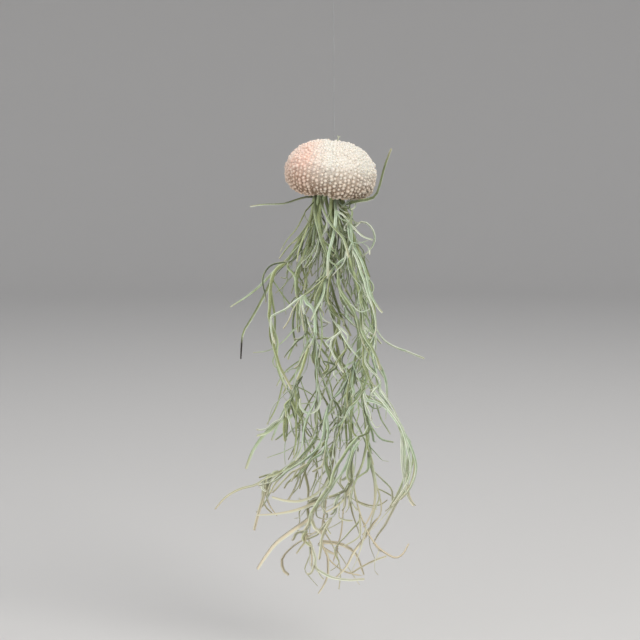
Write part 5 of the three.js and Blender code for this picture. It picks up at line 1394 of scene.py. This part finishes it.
    ("mint", 1.1, 0.7, [(-9.6, 211.8), (-9, 216.6), (-9, 220.8), (-7.8, 223.8), (-4.2, 226.2),
        (0.6, 228.6), (6, 229.8), (12, 230.4), (16.8, 230.1), (21, 229.8)]),
    ("tan", 0.8, 0.55, [(-7.8, 224.4), (-6, 227.4), (-3.6, 230.1)]),
    ("tan", 0.9, 0.65, [(-7.8, 225.6), (-11.4, 226.2), (-14.4, 226.8)]),
    ("tan", 0.8, 0.65, [(-3, 194.4), (-4.8, 199.2), (-7.2, 202.8), (-12, 205.2), (-16.2, 206.4)]),
    ("tan", 1.05, 0.8, [(-1.8, 195), (-3, 200.4), (-4.8, 205.2), (-5.4, 210), (-6, 214.8),
        (-6.6, 218.4)]),
    ("tan", 0.65, 0.55, [(-3.6, 202.2), (0.6, 203.1)]),
    ("tan", 1.2, 0.9, [(-9, 199.2), (-7.2, 200.4), (-5.4, 202.8)]),
    ("tan", 1.05, 0.8, [(-17.4, 202.8), (-19.8, 202.2), (-21.6, 205.2), (-22.8, 207)]),
    ("tan", 0.65, 0.55, [(-13.8, 191.4), (-18, 192.6), (-21.6, 193.5)]),
]

STRAND_CLASP = 4  # how far up its carrier a strand starts
STRAND_LEAVES_WITHIN = 12  # a strand reaches its own depth this far from its root
STRAND_DEPTH_TRIES = (0, -2, 2, -4, 4, -6, 6, -8, 8)
STRAND_CLEARANCE = 0.15
STRAND_FREE_FROM = 6
STRAND_WAVE = 1.2  # how far a strand sways to and from the viewer
STRAND_WAVE_LENGTH = 9
STRAND_JOINED = 1.5  # nearer to its carrier than this, a strand starts on it
CLASP_PER_GAP = 0.5  # and starts this much higher for each millimetre of gap
LEAST_DEPTH = 0.02  # keeps the rounded front from folding in at its sides
FRONT_DEPTHS = [  # drop, how far before the middle the bunch's front lies, and its half width
    (0, 9, 16), (14, 15, 24), (26, 18.5, 32), (39, 22, 42), (52, 24, 50), (65, 25.5, 52),
    (90, 27, 48), (120, 27, 50), (150, 24.5, 58), (170, 20, 62), (200, 19, 54), (232, 17, 48),
]
CARRIER_SAMPLES_APART = 0.8
DEPTH_COUNTS = 0.15  # how much a carrier's depth counts beside its place in the view

camera_spot = np.array(CAMERA_PLACE) / MM - np.array(MOSS_ORIGIN) / MM
sight_ahead = np.array((0, math.cos(CAMERA_PITCH), -math.sin(CAMERA_PITCH)))
sight_upward = np.array((0, math.sin(CAMERA_PITCH), math.cos(CAMERA_PITCH)))


def seen_at(sheet, away):
    """Where the lines of sight through places on the sheet pass the given depths."""
    shift = (sheet - SHEET_MIDDLE) / SHEET_DISTANCE
    sight = sight_ahead + np.outer(shift[:, 0], (1, 0, 0)) - np.outer(shift[:, 1], sight_upward)
    return camera_spot + sight * ((away - camera_spot[1]) / sight[:, 1])[:, None]


def on_sheet(points):
    """The reverse: the places on the sheet at which the camera sees some points."""
    sight = points - camera_spot
    scale = SHEET_DISTANCE / (sight @ sight_ahead)
    return np.stack([sight[:, 0] * scale, -(sight @ sight_upward) * scale], 1) + SHEET_MIDDLE


def arc_along(line):
    return np.concatenate([[0], np.cumsum(np.linalg.norm(np.diff(line, axis=0), axis=1))])


def spots_along(line, wanted):
    """The points of a line at some distances along it."""
    arc = arc_along(line)
    return np.stack([np.interp(wanted, arc, column) for column in line.T], -1)


def even_line(points, count):
    """A smooth line through some points, cut into even pieces."""
    fine = smooth_line(points, 8)
    return spots_along(fine, np.linspace(0, arc_along(fine)[-1], count + 1))


class Carriers:
    """Everything that a strand can grow from: the stems, and the strands laid so far."""

    def __init__(self):
        self.lines = []
        self.stems = []
        self.places = np.zeros((0, 2))
        self.samples = np.zeros((0, 3))
        self.owners = np.zeros((0, 2), int)

    def add(self, stem_number, points):
        count = max(4, round(arc_along(points)[-1] / CARRIER_SAMPLES_APART))
        line = even_line(points, count)
        owner = np.stack([np.full(count + 1, len(self.lines)), np.arange(count + 1)], 1)
        self.lines.append(line)
        self.stems.append(stem_number)
        self.samples = np.concatenate([self.samples, line])
        self.places = np.concatenate([self.places, on_sheet(line)])
        self.owners = np.concatenate([self.owners, owner])

    def nearest(self, place, away):
        """The stem, a point up the carrier, the depth and the gap in the view for a root."""
        gap = np.linalg.norm(self.places - place, axis=1)
        best = np.argmin(gap + DEPTH_COUNTS * np.abs(self.samples[:, 1] - away))
        number, sample = self.owners[best]
        back = round((STRAND_CLASP + CLASP_PER_GAP * gap[best]) / CARRIER_SAMPLES_APART)
        above = self.lines[number][max(0, sample - back)]
        return self.stems[number], above, self.samples[best, 1], gap[best]


def front_depth(sheet):
    """How far away the bunch's rounded front lies at places on the sheet."""
    drops, depths, halves = np.array(FRONT_DEPTHS, float).T
    side = np.abs(sheet[:, 0]) / np.interp(sheet[:, 1], drops, halves)
    return -np.interp(sheet[:, 1], drops, depths) * np.sqrt(np.clip(1 - side * side, LEAST_DEPTH, 1))


def laid_strand(sheet, above, root_away, nearer, gap):
    """A strand from its carrier through its route, at the depths that it lies at."""
    arc = arc_along(sheet)
    own = front_depth(sheet) + nearer
    blend = eased(share_between(arc + gap, 0, STRAND_LEAVES_WITHIN))
    sway = STRAND_WAVE * np.sin(arc / STRAND_WAVE_LENGTH + sheet[0, 0])
    away = root_away * (1 - blend) + own * blend + sway * blend
    points = seen_at(sheet, away)
    return np.concatenate([[above], points if gap > STRAND_JOINED else points[1:]])


carriers = Carriers()
for number, stem in enumerate(stems):
    stem["strands"] = []
    carriers.add(number, stem["line"])
for tone, root_width, tip_width, route in FRONT_STRANDS:
    sheet = np.array(route, float)
    number, above, root_away, gap = carriers.nearest(sheet[0], front_depth(sheet)[0])
    best_room = -math.inf
    for nearer in STRAND_DEPTH_TRIES:
        points = laid_strand(sheet, above, root_away, nearer, gap)
        radii = np.linspace(root_width, tip_width, len(points))
        free = np.nonzero(arc_along(points) > STRAND_FREE_FROM)[0]
        first_free = min(free[0], len(points) - 2) if len(free) else len(points) - 2
        room = rods.room_round(points[first_free:], radii[first_free:])
        if room > best_room:
            best_room, best_points = room, points
        if room >= STRAND_CLEARANCE:
            break
    radii = np.linspace(root_width, tip_width, len(best_points))
    stems[number]["strands"].append({"points": best_points, "radii": radii, "tone": tone})
    rods.add(number, best_points, radii)
    carriers.add(number, best_points)

# ---- Slight leaves ----
# The bunch is thicker with leaves than its solids: slighter ones with stronger curls grow
# between them by the same rule.

SLIGHT_SPACINGS = [(0, 3), (50, 4), (64, 20), (150, 26), (180, 34), (215, 60)]  # drop, spacing
SLIGHT_STEP = 1.5
SLIGHT_SEED = 101
SLIGHT_FIRST = 5  # millimetres below the last held point of a stem
FRINGE_DROP = 46  # straighter, finer leaves fringe the bunch above this
slight_habit = {
    "openings": (20, 62), "curls": (-90, 150), "waves": (-60, 60), "lengths": (14, 36),
    "radii": (0.62, 0.32), "steps": 7, "tries": 30, "clearance": -0.15,
}
fringe_habit = {
    **slight_habit,
    "openings": (12, 44), "curls": (-40, 60), "waves": (-40, 40), "lengths": (14, 30),
    "radii": (0.5, 0.32),
}
for number, stem in enumerate(stems):
    draws = seeded_draws(number + SLIGHT_SEED)
    drops, spacings = np.array(SLIGHT_SPACINGS, float).T
    due = 0
    for node, (root, along) in enumerate(stem_nodes(stem["line"], SLIGHT_STEP, SLIGHT_FIRST)):
        due += SLIGHT_STEP / np.interp(-root[2], drops, spacings)
        if due < 1:
            continue
        due -= 1
        habit = fringe_habit if -root[2] < FRINGE_DROP else slight_habit
        side_turn = number * STEM_TURN + node * NODE_TURN + math.pi
        grow_leaf(number, root, along, side_turn, draws, habit)

# ---- Leaf and stalk meshes ----
# Each leaf is a copy of one blank, a rod with a channel along its upper side and a pointed
# end, laid along the leaf's own line. A stalk is a copy of a longer, round blank.

LEAF_SECTION = [(0.96, 0.45), (0, 0.1), (-0.96, 0.45), (-0.86, -0.36), (0, -0.72), (0.86, -0.36)]
LEAF_LIGHT_AND_SHADE_STRIPES = [1, -1, 1, 0, -0.6, 0]  # painted highlights on the edges, and painted shade in the middles above and below
LEAF_RINGS = 14
SHOOT_RINGS = 44
SHOOT_LENGTH = 40  # strands longer than this get the blank with more rings
STALK_RINGS = 96
STALK_SIDES = 7
STALK_SAMPLES = 600
LEAF_CLASP = 4.5  # how far above its joint a leaf starts, along the stalk
LEAF_TAPER = [(0, 0.5, 0.85, 1), (1, 0.86, 0.66, 0.5)]  # share of the length, share of the width


def rod_blank(section, rings):
    """A rod one unit long with a given section, cut into rings and drawn to a point."""
    sides = len(section)
    bpy.ops.mesh.primitive_cylinder_add(vertices=sides, radius=1, depth=1, location=(0, 0, 0))
    blank = bpy.context.object
    bpy.ops.object.mode_set(mode='EDIT')
    bpy.ops.mesh.select_mode(type='EDGE')
    bpy.ops.mesh.select_all(action='DESELECT')
    edit = bmesh.from_edit_mesh(blank.data)
    for edge in edit.edges:
        low_end, high_end = edge.verts
        edge.select = abs(low_end.co.z - high_end.co.z) > 0.5
    bmesh.update_edit_mesh(blank.data)
    bpy.ops.mesh.subdivide(number_cuts=rings - 1)
    bpy.ops.mesh.select_mode(type='VERT')
    bpy.ops.mesh.select_all(action='DESELECT')
    edit = bmesh.from_edit_mesh(blank.data)
    for vertex in edit.verts:
        vertex.select = vertex.co.z > 0.499
    bmesh.update_edit_mesh(blank.data)
    bpy.ops.mesh.merge(type='CENTER')
    bpy.ops.object.mode_set(mode='OBJECT')
    points = mesh_points(blank.data)
    faces = [tuple(face.vertices) for face in blank.data.polygons]
    bpy.data.objects.remove(blank)
    ring = np.rint((points[:, 2] + 0.5) * rings).astype(int)
    side = np.rint(np.arctan2(points[:, 1], points[:, 0]) / (2 * math.pi) * sides).astype(int) % sides
    outline = np.array(section)[side]
    outline[ring == rings] = 0
    return {"ring": ring, "outline": outline, "side": side, "faces": faces, "rings": rings}


def ring_frames(line, upward):
    """Directions along, up and across at each point of a line, carried on without twist."""
    along = np.gradient(line, axis=0)
    along /= np.linalg.norm(along, axis=1)[:, None]
    up = np.zeros_like(line)
    for i, ahead in enumerate(along):
        upward = unit(upward - ahead * (upward @ ahead))
        up[i] = upward
    return along, up, np.cross(up, along)


def leaf_line(points, count, tip):
    """A smooth line cut into even pieces, but for a short last one that rounds the tip off."""
    fine = smooth_line(points, 8)
    length = arc_along(fine)[-1]
    return spots_along(fine, np.append(np.linspace(0, length - tip, count), length))


def lay_blank(blank, line, widths, upward, twist):
    """A blank's points laid along a line, with a half width for each ring."""
    along, up, across = ring_frames(line, upward)
    turn = np.linspace(0, twist, len(line))[:, None]
    up, across = up * np.cos(turn) + across * np.sin(turn), across * np.cos(turn) - up * np.sin(turn)
    ring, outline = blank["ring"], blank["outline"]
    reach = widths[ring][:, None] * outline
    return line[ring] + across[ring] * reach[:, :1] + up[ring] * reach[:, 1:]


def clasped_root(line, leaf_points):
    """The leaf's points with its root moved up its stalk, so that it leaves the stalk gently."""
    places = np.linspace(0, arc_along(line)[-1], STALK_SAMPLES)
    away = np.linalg.norm(spots_along(line, places) - leaf_points[0], axis=1)
    above = spots_along(line, places[np.argmin(away)] - LEAF_CLASP)
    return np.concatenate([[above], leaf_points])


leaf_blank = rod_blank(LEAF_SECTION, LEAF_RINGS)
shoot_blank = rod_blank(LEAF_SECTION, SHOOT_RINGS)
stalk_turns = 2 * math.pi * np.arange(STALK_SIDES) / STALK_SIDES
stalk_blank = rod_blank([(math.cos(turn), math.sin(turn)) for turn in stalk_turns], STALK_RINGS)

# ---- Leaf looks ----
# Dull silvery green with silvery scales, with painted highlights on the leaves' edges and painted
# shade in their channels. Painted shade darkens it to olive in the heart of the bunch, and at its
# foot it turns pale tan: drier leaves, and partly a painted warm reflection. A few traced leaves
# have looks of their own: darker by a share, dead at the tip, or pale.

DARK_LEAVES = {("moss_stem_08", 0): 0.75, ("moss_stem_01", 0): 0.35, ("moss_stem_01", 2): 0.3}
DEAD_LEAVES = {("moss_stem_01", 2)}
PALE_LEAVES = {("moss_stem_08", 1), ("moss_stem_11", 0), ("moss_stem_07", 0)}
TRACED_TONE = 0.72  # leaves that hang free of the bunch are paler
TRACED_WIDER = 1.3
LOW_WIDER = 1.65

STRAND_TONES = {  # place from dark olive to pale silver, yellow, tan
    "dark": (0.08, 0.1, 0.0), "olive": (0.34, 0.45, 0.0), "sage": (0.56, 0.15, 0.0),
    "mint": (0.8, 0.0, 0.0), "pale": (0.97, 0.05, 0.05), "yellow": (0.62, 0.85, 0.0),
    "tan": (0.7, 0.2, 0.6),
}
LEAF_TONES = [  # from dark olive to pale silver
    (0.0, paint(60, 70, 44)), (0.3, paint(120, 130, 84)), (0.55, paint(158, 172, 128)),
    (0.8, paint(188, 208, 176)), (1.0, paint(220, 226, 206)),
]
YELLOW_GREEN = paint(186, 188, 118)
# tan of drier leaves, also the painted warm reflection at the foot
TAN_AND_WARM_REFLECTION = paint(220, 204, 176)
PALE_TIP = paint(216, 202, 176)
DEAD_BROWN = paint(52, 46, 40)
# Silver for the scales, and for the painted highlight on the leaves' edges. Below it, the painted shade
# of their channels and undersides.
SILVER_SCALES_AND_HIGHLIGHT = paint(212, 220, 202)
GROOVE_SHADE = paint(72, 84, 54)

leaf_green = Finish("moss_leaf")
patches = leaf_green.spread(leaf_green.noise(7, 2), 0.25, 0.75, -0.14, 0.14)
patchy_tone = leaf_green.math('ADD', leaf_green.value("tone"), patches)
ramp = leaf_green.add("ShaderNodeValToRGB", {"Fac": patchy_tone})
for _ in LEAF_TONES[2:]:
    ramp.color_ramp.elements.new(0.5)
for stop, (place, colour) in zip(ramp.color_ramp.elements, LEAF_TONES):
    stop.position = place
    stop.color = colour
yellow_share = leaf_green.times(leaf_green.value("yellow"), 0.7)
tip_share = leaf_green.spread(leaf_green.value("along"), 0.75, 1.0, 0.0, 0.6)
# Painted highlight along each leaf's edges and painted shade in its channel and underside, by the side of
# its section.
painted_stripe = leaf_green.value("rim")
scales = leaf_green.spread(leaf_green.noise(0.35, 2), 0.5, 0.72, 0.0, 0.3)
# Over the ramp: yellow; tan, partly drier leaves and partly a painted warm reflection low down; pale
# tips; painted highlights and painted shade across each leaf; silver scales; dead brown.
colour = ramp.outputs["Color"]
for share, over in (
    (yellow_share, YELLOW_GREEN),
    (leaf_green.value("tan"), TAN_AND_WARM_REFLECTION),
    (tip_share, PALE_TIP),
    (leaf_green.spread(painted_stripe, 0.0, 1.0, 0.0, 0.7), SILVER_SCALES_AND_HIGHLIGHT),
    (leaf_green.spread(painted_stripe, -1.0, 0.0, 0.5, 0.0), GROOVE_SHADE),
    (scales, SILVER_SCALES_AND_HIGHLIGHT),
    (leaf_green.value("dead"), DEAD_BROWN),
):
    colour = leaf_green.mixed(share, colour, over)
leaf_green.surface({
    "Base Color": colour,
    "Normal": leaf_green.bumped(leaf_green.noise(0.5, 3), 0.15, 0.4),
    "Roughness": 0.62,
    "Specular IOR Level": 0.35,
    "Sheen Weight": 0.25,
    "Sheen Roughness": 0.4,
    "Sheen Tint": (0.9, 1.0, 0.9, 1),
})

STALK_THINNEST = 0.55
STALK_JOINTS_APART = 9
STALK_WAIST = 0.78  # share of its width above a joint, and what the joint adds
JOINT_SWELL = 0.24
STALK_AGE = 0.4  # a stalk's end is as far along as this share of a leaf
STALK_TONES = (0.4, 0.6)
STALK_YELLOWS = (0.1, 0.4)
STALK_FOOT_TAN = 0.85
LEAF_WIDTHS = (0.85, 1.1)
LEAF_TWIST = 1.2
LEAF_FACING = 0.9  # how far a leaf's channel turns to the inside of its first bend
ROOT_NARROWER = 0.7
LEAST_CROSS = 1e-6
LOOK_SEED = 200
RIGHT_SIDE = (-12, 24)  # leaves turn from yellow sage to blue mint between these
TAN_FOOT_DROPS = (150, 195)  # and paler and tan between these drops: drier leaves, and a painted warm reflection
BUNCH_MIDDLE = (2, 4)
SHADED_HEART_WIDTHS = [(0, 60), (9.5, 17)]  # drops, and how wide the painted shade in the heart of the bunch is there
HEART_PAINTED_SHADE = 0.6
# leaves low down are painted paler: drier leaves, and a painted warm reflection
LOW_PALER = 0.1
MIDDLE_TONE = 0.5
RIGHT_PALER = 0.14
MIDDLE_YELLOW = 0.5
LOOK_SCATTER = 0.25
FOOT_TAN_SHARES = (0.45, 1)
DEAD_FROM = 0.72  # share of the length
DEAD_BLEND = 0.06
NEVER_DEAD = 2.0
STRAND_TWIST = 0.8
STRAND_TONE_SCATTER = 0.06
STRAND_FOOT_TAN = 0.35


def look_of(points, random):
    """A leaf's tone, yellow, tan and how tan it gets low down, from drying and a painted warm reflection,
    by where it hangs.
    """
    middle = points.mean(0)
    right = float(share_between(middle[0], *RIGHT_SIDE))
    tone = MIDDLE_TONE + RIGHT_PALER * right + random.uniform(-LOOK_SCATTER, LOOK_SCATTER)
    yellow = MIDDLE_YELLOW * (1 - right) + random.uniform(-LOOK_SCATTER, LOOK_SCATTER)
    return tone, np.clip(yellow, 0, 1), 0, random.uniform(*FOOT_TAN_SHARES)


def laid_copy(blank, line, widths, upward, twist, look, dead_from=NEVER_DEAD):
    """A copy of a blank laid along a line, with what its finish reads at each point."""
    placed = lay_blank(blank, line, widths, upward, twist)
    share = np.linspace(0, 1, len(line))[blank["ring"]]
    from_middle = np.hypot(placed[:, 0] - BUNCH_MIDDLE[0], placed[:, 1] - BUNCH_MIDDLE[1])
    # Painted shade: leaves and stalks deep in the heart of the bunch are painted darker.
    heart_shade = share_between(from_middle, np.interp(-placed[:, 2], *SHADED_HEART_WIDTHS), 0)
    low = share_between(-placed[:, 2], *TAN_FOOT_DROPS)
    tone, yellow, tan, foot_tan = look
    is_leaf = blank is not stalk_blank
    return placed, blank["faces"], {
        "tone": tone - HEART_PAINTED_SHADE * heart_shade + LOW_PALER * low,
        "yellow": np.full(len(placed), yellow),
        # tan low down: drier leaves, and a painted warm reflection
        "tan": np.maximum(tan, foot_tan * low),
        "along": share if is_leaf else share * STALK_AGE,
        # painted highlight on a leaf's edges, painted shade in its channel and underside
        "rim": np.array(LEAF_LIGHT_AND_SHADE_STRIPES)[blank["side"]] if is_leaf else np.zeros(len(placed)),
        "dead": share_between(share - dead_from, 0, DEAD_BLEND),
    }


def stalk_copy(stem, random):
    """A stem's stalk, with a slight swelling at each joint."""
    line = even_line(stem["line"], STALK_RINGS)
    share = np.linspace(0, 1, STALK_RINGS + 1)
    widths = np.interp(share, np.linspace(0, 1, len(stem["radii"])), stem["radii"])
    widths = np.maximum(widths, STALK_THINNEST)
    joint = (share * arc_along(line)[-1] / STALK_JOINTS_APART) % 1
    widths = widths * (STALK_WAIST + JOINT_SWELL * joint ** 3)
    look = (random.uniform(*STALK_TONES), random.uniform(*STALK_YELLOWS), 0, STALK_FOOT_TAN)
    return laid_copy(stalk_blank, line, widths, np.array((0, 1, 0)), 0, look)


def leaf_copy(stem, leaf_number, random):
    """One of a stem's leaves. The first ones are the traced leaves, which are wider."""
    leaf = stem["leaves"][leaf_number]
    key = (stem["name"], leaf_number)
    line = leaf_line(clasped_root(stem["line"], leaf["points"]), LEAF_RINGS, leaf["radii"][-1])
    share = np.linspace(0, 1, LEAF_RINGS + 1)
    widths = leaf["radii"][0] * np.interp(share, *LEAF_TAPER) * random.uniform(*LEAF_WIDTHS)
    widths[0] *= ROOT_NARROWER
    upward = line[1] - line[0] - LEAF_FACING * (line[4] - line[0])
    if np.linalg.norm(np.cross(upward, line[1] - line[0])) < LEAST_CROSS:
        upward = np.array((0, 1, 0))
    look = look_of(line, random)
    if leaf_number < sum(name == stem["name"] for name, _ in TRACED_LEAVES):
        is_low = -line[-1, 2] > TAN_FOOT_DROPS[0]
        widths *= LOW_WIDER if is_low else TRACED_WIDER
        look = (max(look[0], TRACED_TONE), 0.7 * look[1], 0, 1 if is_low else look[3])
    if key in PALE_LEAVES:
        look = (*STRAND_TONES["pale"], 0)
    if key in DARK_LEAVES:
        look = (0.3 - 0.25 * DARK_LEAVES[key], 0.2, 0, 0)
    dead_from = DEAD_FROM if key in DEAD_LEAVES else NEVER_DEAD
    twist = random.uniform(-LEAF_TWIST, LEAF_TWIST)
    return laid_copy(leaf_blank, line, widths, upward, twist, look, dead_from)


def strand_copy(strand, random):
    """A front strand, from the longer blank where it is a long shoot."""
    blank = shoot_blank if arc_along(strand["points"])[-1] > SHOOT_LENGTH else leaf_blank
    line = leaf_line(strand["points"], blank["rings"], strand["radii"][-1])
    share = np.linspace(0, 1, blank["rings"] + 1)
    widths = between((strand["radii"][0], strand["radii"][-1]), share)
    widths[0] *= ROOT_NARROWER
    roll = random.uniform(-1, 1)
    upward = np.array((math.sin(roll), -math.cos(roll), 0.2))
    tone, yellow, tan = STRAND_TONES[strand["tone"]]
    tone += random.uniform(-STRAND_TONE_SCATTER, STRAND_TONE_SCATTER)
    twist = random.uniform(-STRAND_TWIST, STRAND_TWIST)
    return laid_copy(blank, line, widths, upward, twist, (tone, yellow, tan, STRAND_FOOT_TAN))


for number, stem in enumerate(stems):
    random = np.random.default_rng(LOOK_SEED + number)
    copies = [stalk_copy(stem, random)]
    copies.extend(leaf_copy(stem, k, random) for k in range(len(stem["leaves"])))
    copies.extend(strand_copy(strand, random) for strand in stem["strands"])
    points, faces = joined([(placed, copy_faces) for placed, copy_faces, _ in copies])
    values = {
        name: np.concatenate([copy_values[name] for *_, copy_values in copies])
        for name in copies[0][2]
    }
    moss = mesh_piece(stem["name"] + "_leafy", points * MM, faces, values)
    moss.data.transform(Matrix.Translation(MOSS_ORIGIN))
    moss.data.materials.append(leaf_green.material)
    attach(moss, "root")
    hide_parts(stem["name"])

# ---- Floor and light ----
# A plain pale floor that sweeps up into a round wall, a large soft lamp to the upper right,
# and weaker ones to the left and above.

FLOOR_HEIGHT = -0.41
FLOOR_RADIUS = 2.4
WALL_RADIUS = 3.6
WALL_TOP = 3.2
SWEEP_STEPS = 16
FLOOR_SIDES = 96

bpy.ops.mesh.primitive_circle_add(
    vertices=FLOOR_SIDES, radius=FLOOR_RADIUS, fill_type='NGON', location=(0, 0, FLOOR_HEIGHT),
)
floor = bpy.context.object
floor.name = "floor"
bpy.ops.object.transform_apply(location=True, rotation=False, scale=False)
bpy.ops.object.mode_set(mode='EDIT')
bpy.ops.mesh.select_mode(type='EDGE')
bpy.ops.mesh.select_all(action='SELECT')
sweep = WALL_RADIUS - FLOOR_RADIUS
levels = [
    (FLOOR_RADIUS + sweep * math.sin(turn), FLOOR_HEIGHT + sweep * (1 - math.cos(turn)))
    for turn in np.linspace(0, math.pi / 2, SWEEP_STEPS + 1)[1:]
]
levels.append((WALL_RADIUS, WALL_TOP))
edit = bmesh.from_edit_mesh(floor.data)
for face in edit.faces:
    face.select = False
for edge in edit.edges:
    edge.select = True
bmesh.update_edit_mesh(floor.data)
for level, next_level in zip([(FLOOR_RADIUS, FLOOR_HEIGHT), *levels], levels):
    extrude_to(bpy.ops.mesh.extrude_edges_move, level, next_level)
bpy.ops.object.mode_set(mode='OBJECT')
bpy.ops.object.shade_smooth()
studio_grey = Finish("studio_floor")
studio_grey.surface({
    "Base Color": paint(205, 203, 200), "Roughness": 0.9, "Specular IOR Level": 0.1,
})
floor.data.materials.append(studio_grey.material)


PLANT_MIDDLE = Vector((0, 0, -0.2))
LAMPS = [  # name, place, width, power in watts, colour
    ("key_lamp", (1.0, -1.1, 0.9), 1.0, 22, (1.0, 0.99, 0.97)),
    ("fill_lamp", (-1.1, -1.3, -0.05), 1.4, 18, (0.97, 0.98, 1.0)),
    ("top_lamp", (0.1, 0.5, 1.5), 1.2, 10, (1.0, 1.0, 1.0)),
]
for name, place, width, power, colour in LAMPS:
    bpy.ops.object.light_add(type='AREA', location=place)
    lamp = bpy.context.object
    lamp.name = name
    lamp.data.size = width
    lamp.data.energy = power
    lamp.data.color = colour
    lamp.rotation_euler = (PLANT_MIDDLE - Vector(place)).to_track_quat('-Z', 'Y').to_euler()

world = bpy.data.worlds.new("studio_air")
bpy.context.scene.world = world
world.use_nodes = True
world.node_tree.nodes["Background"].inputs["Color"].default_value = (0.9, 0.93, 1.0, 1)
world.node_tree.nodes["Background"].inputs["Strength"].default_value = 0.6
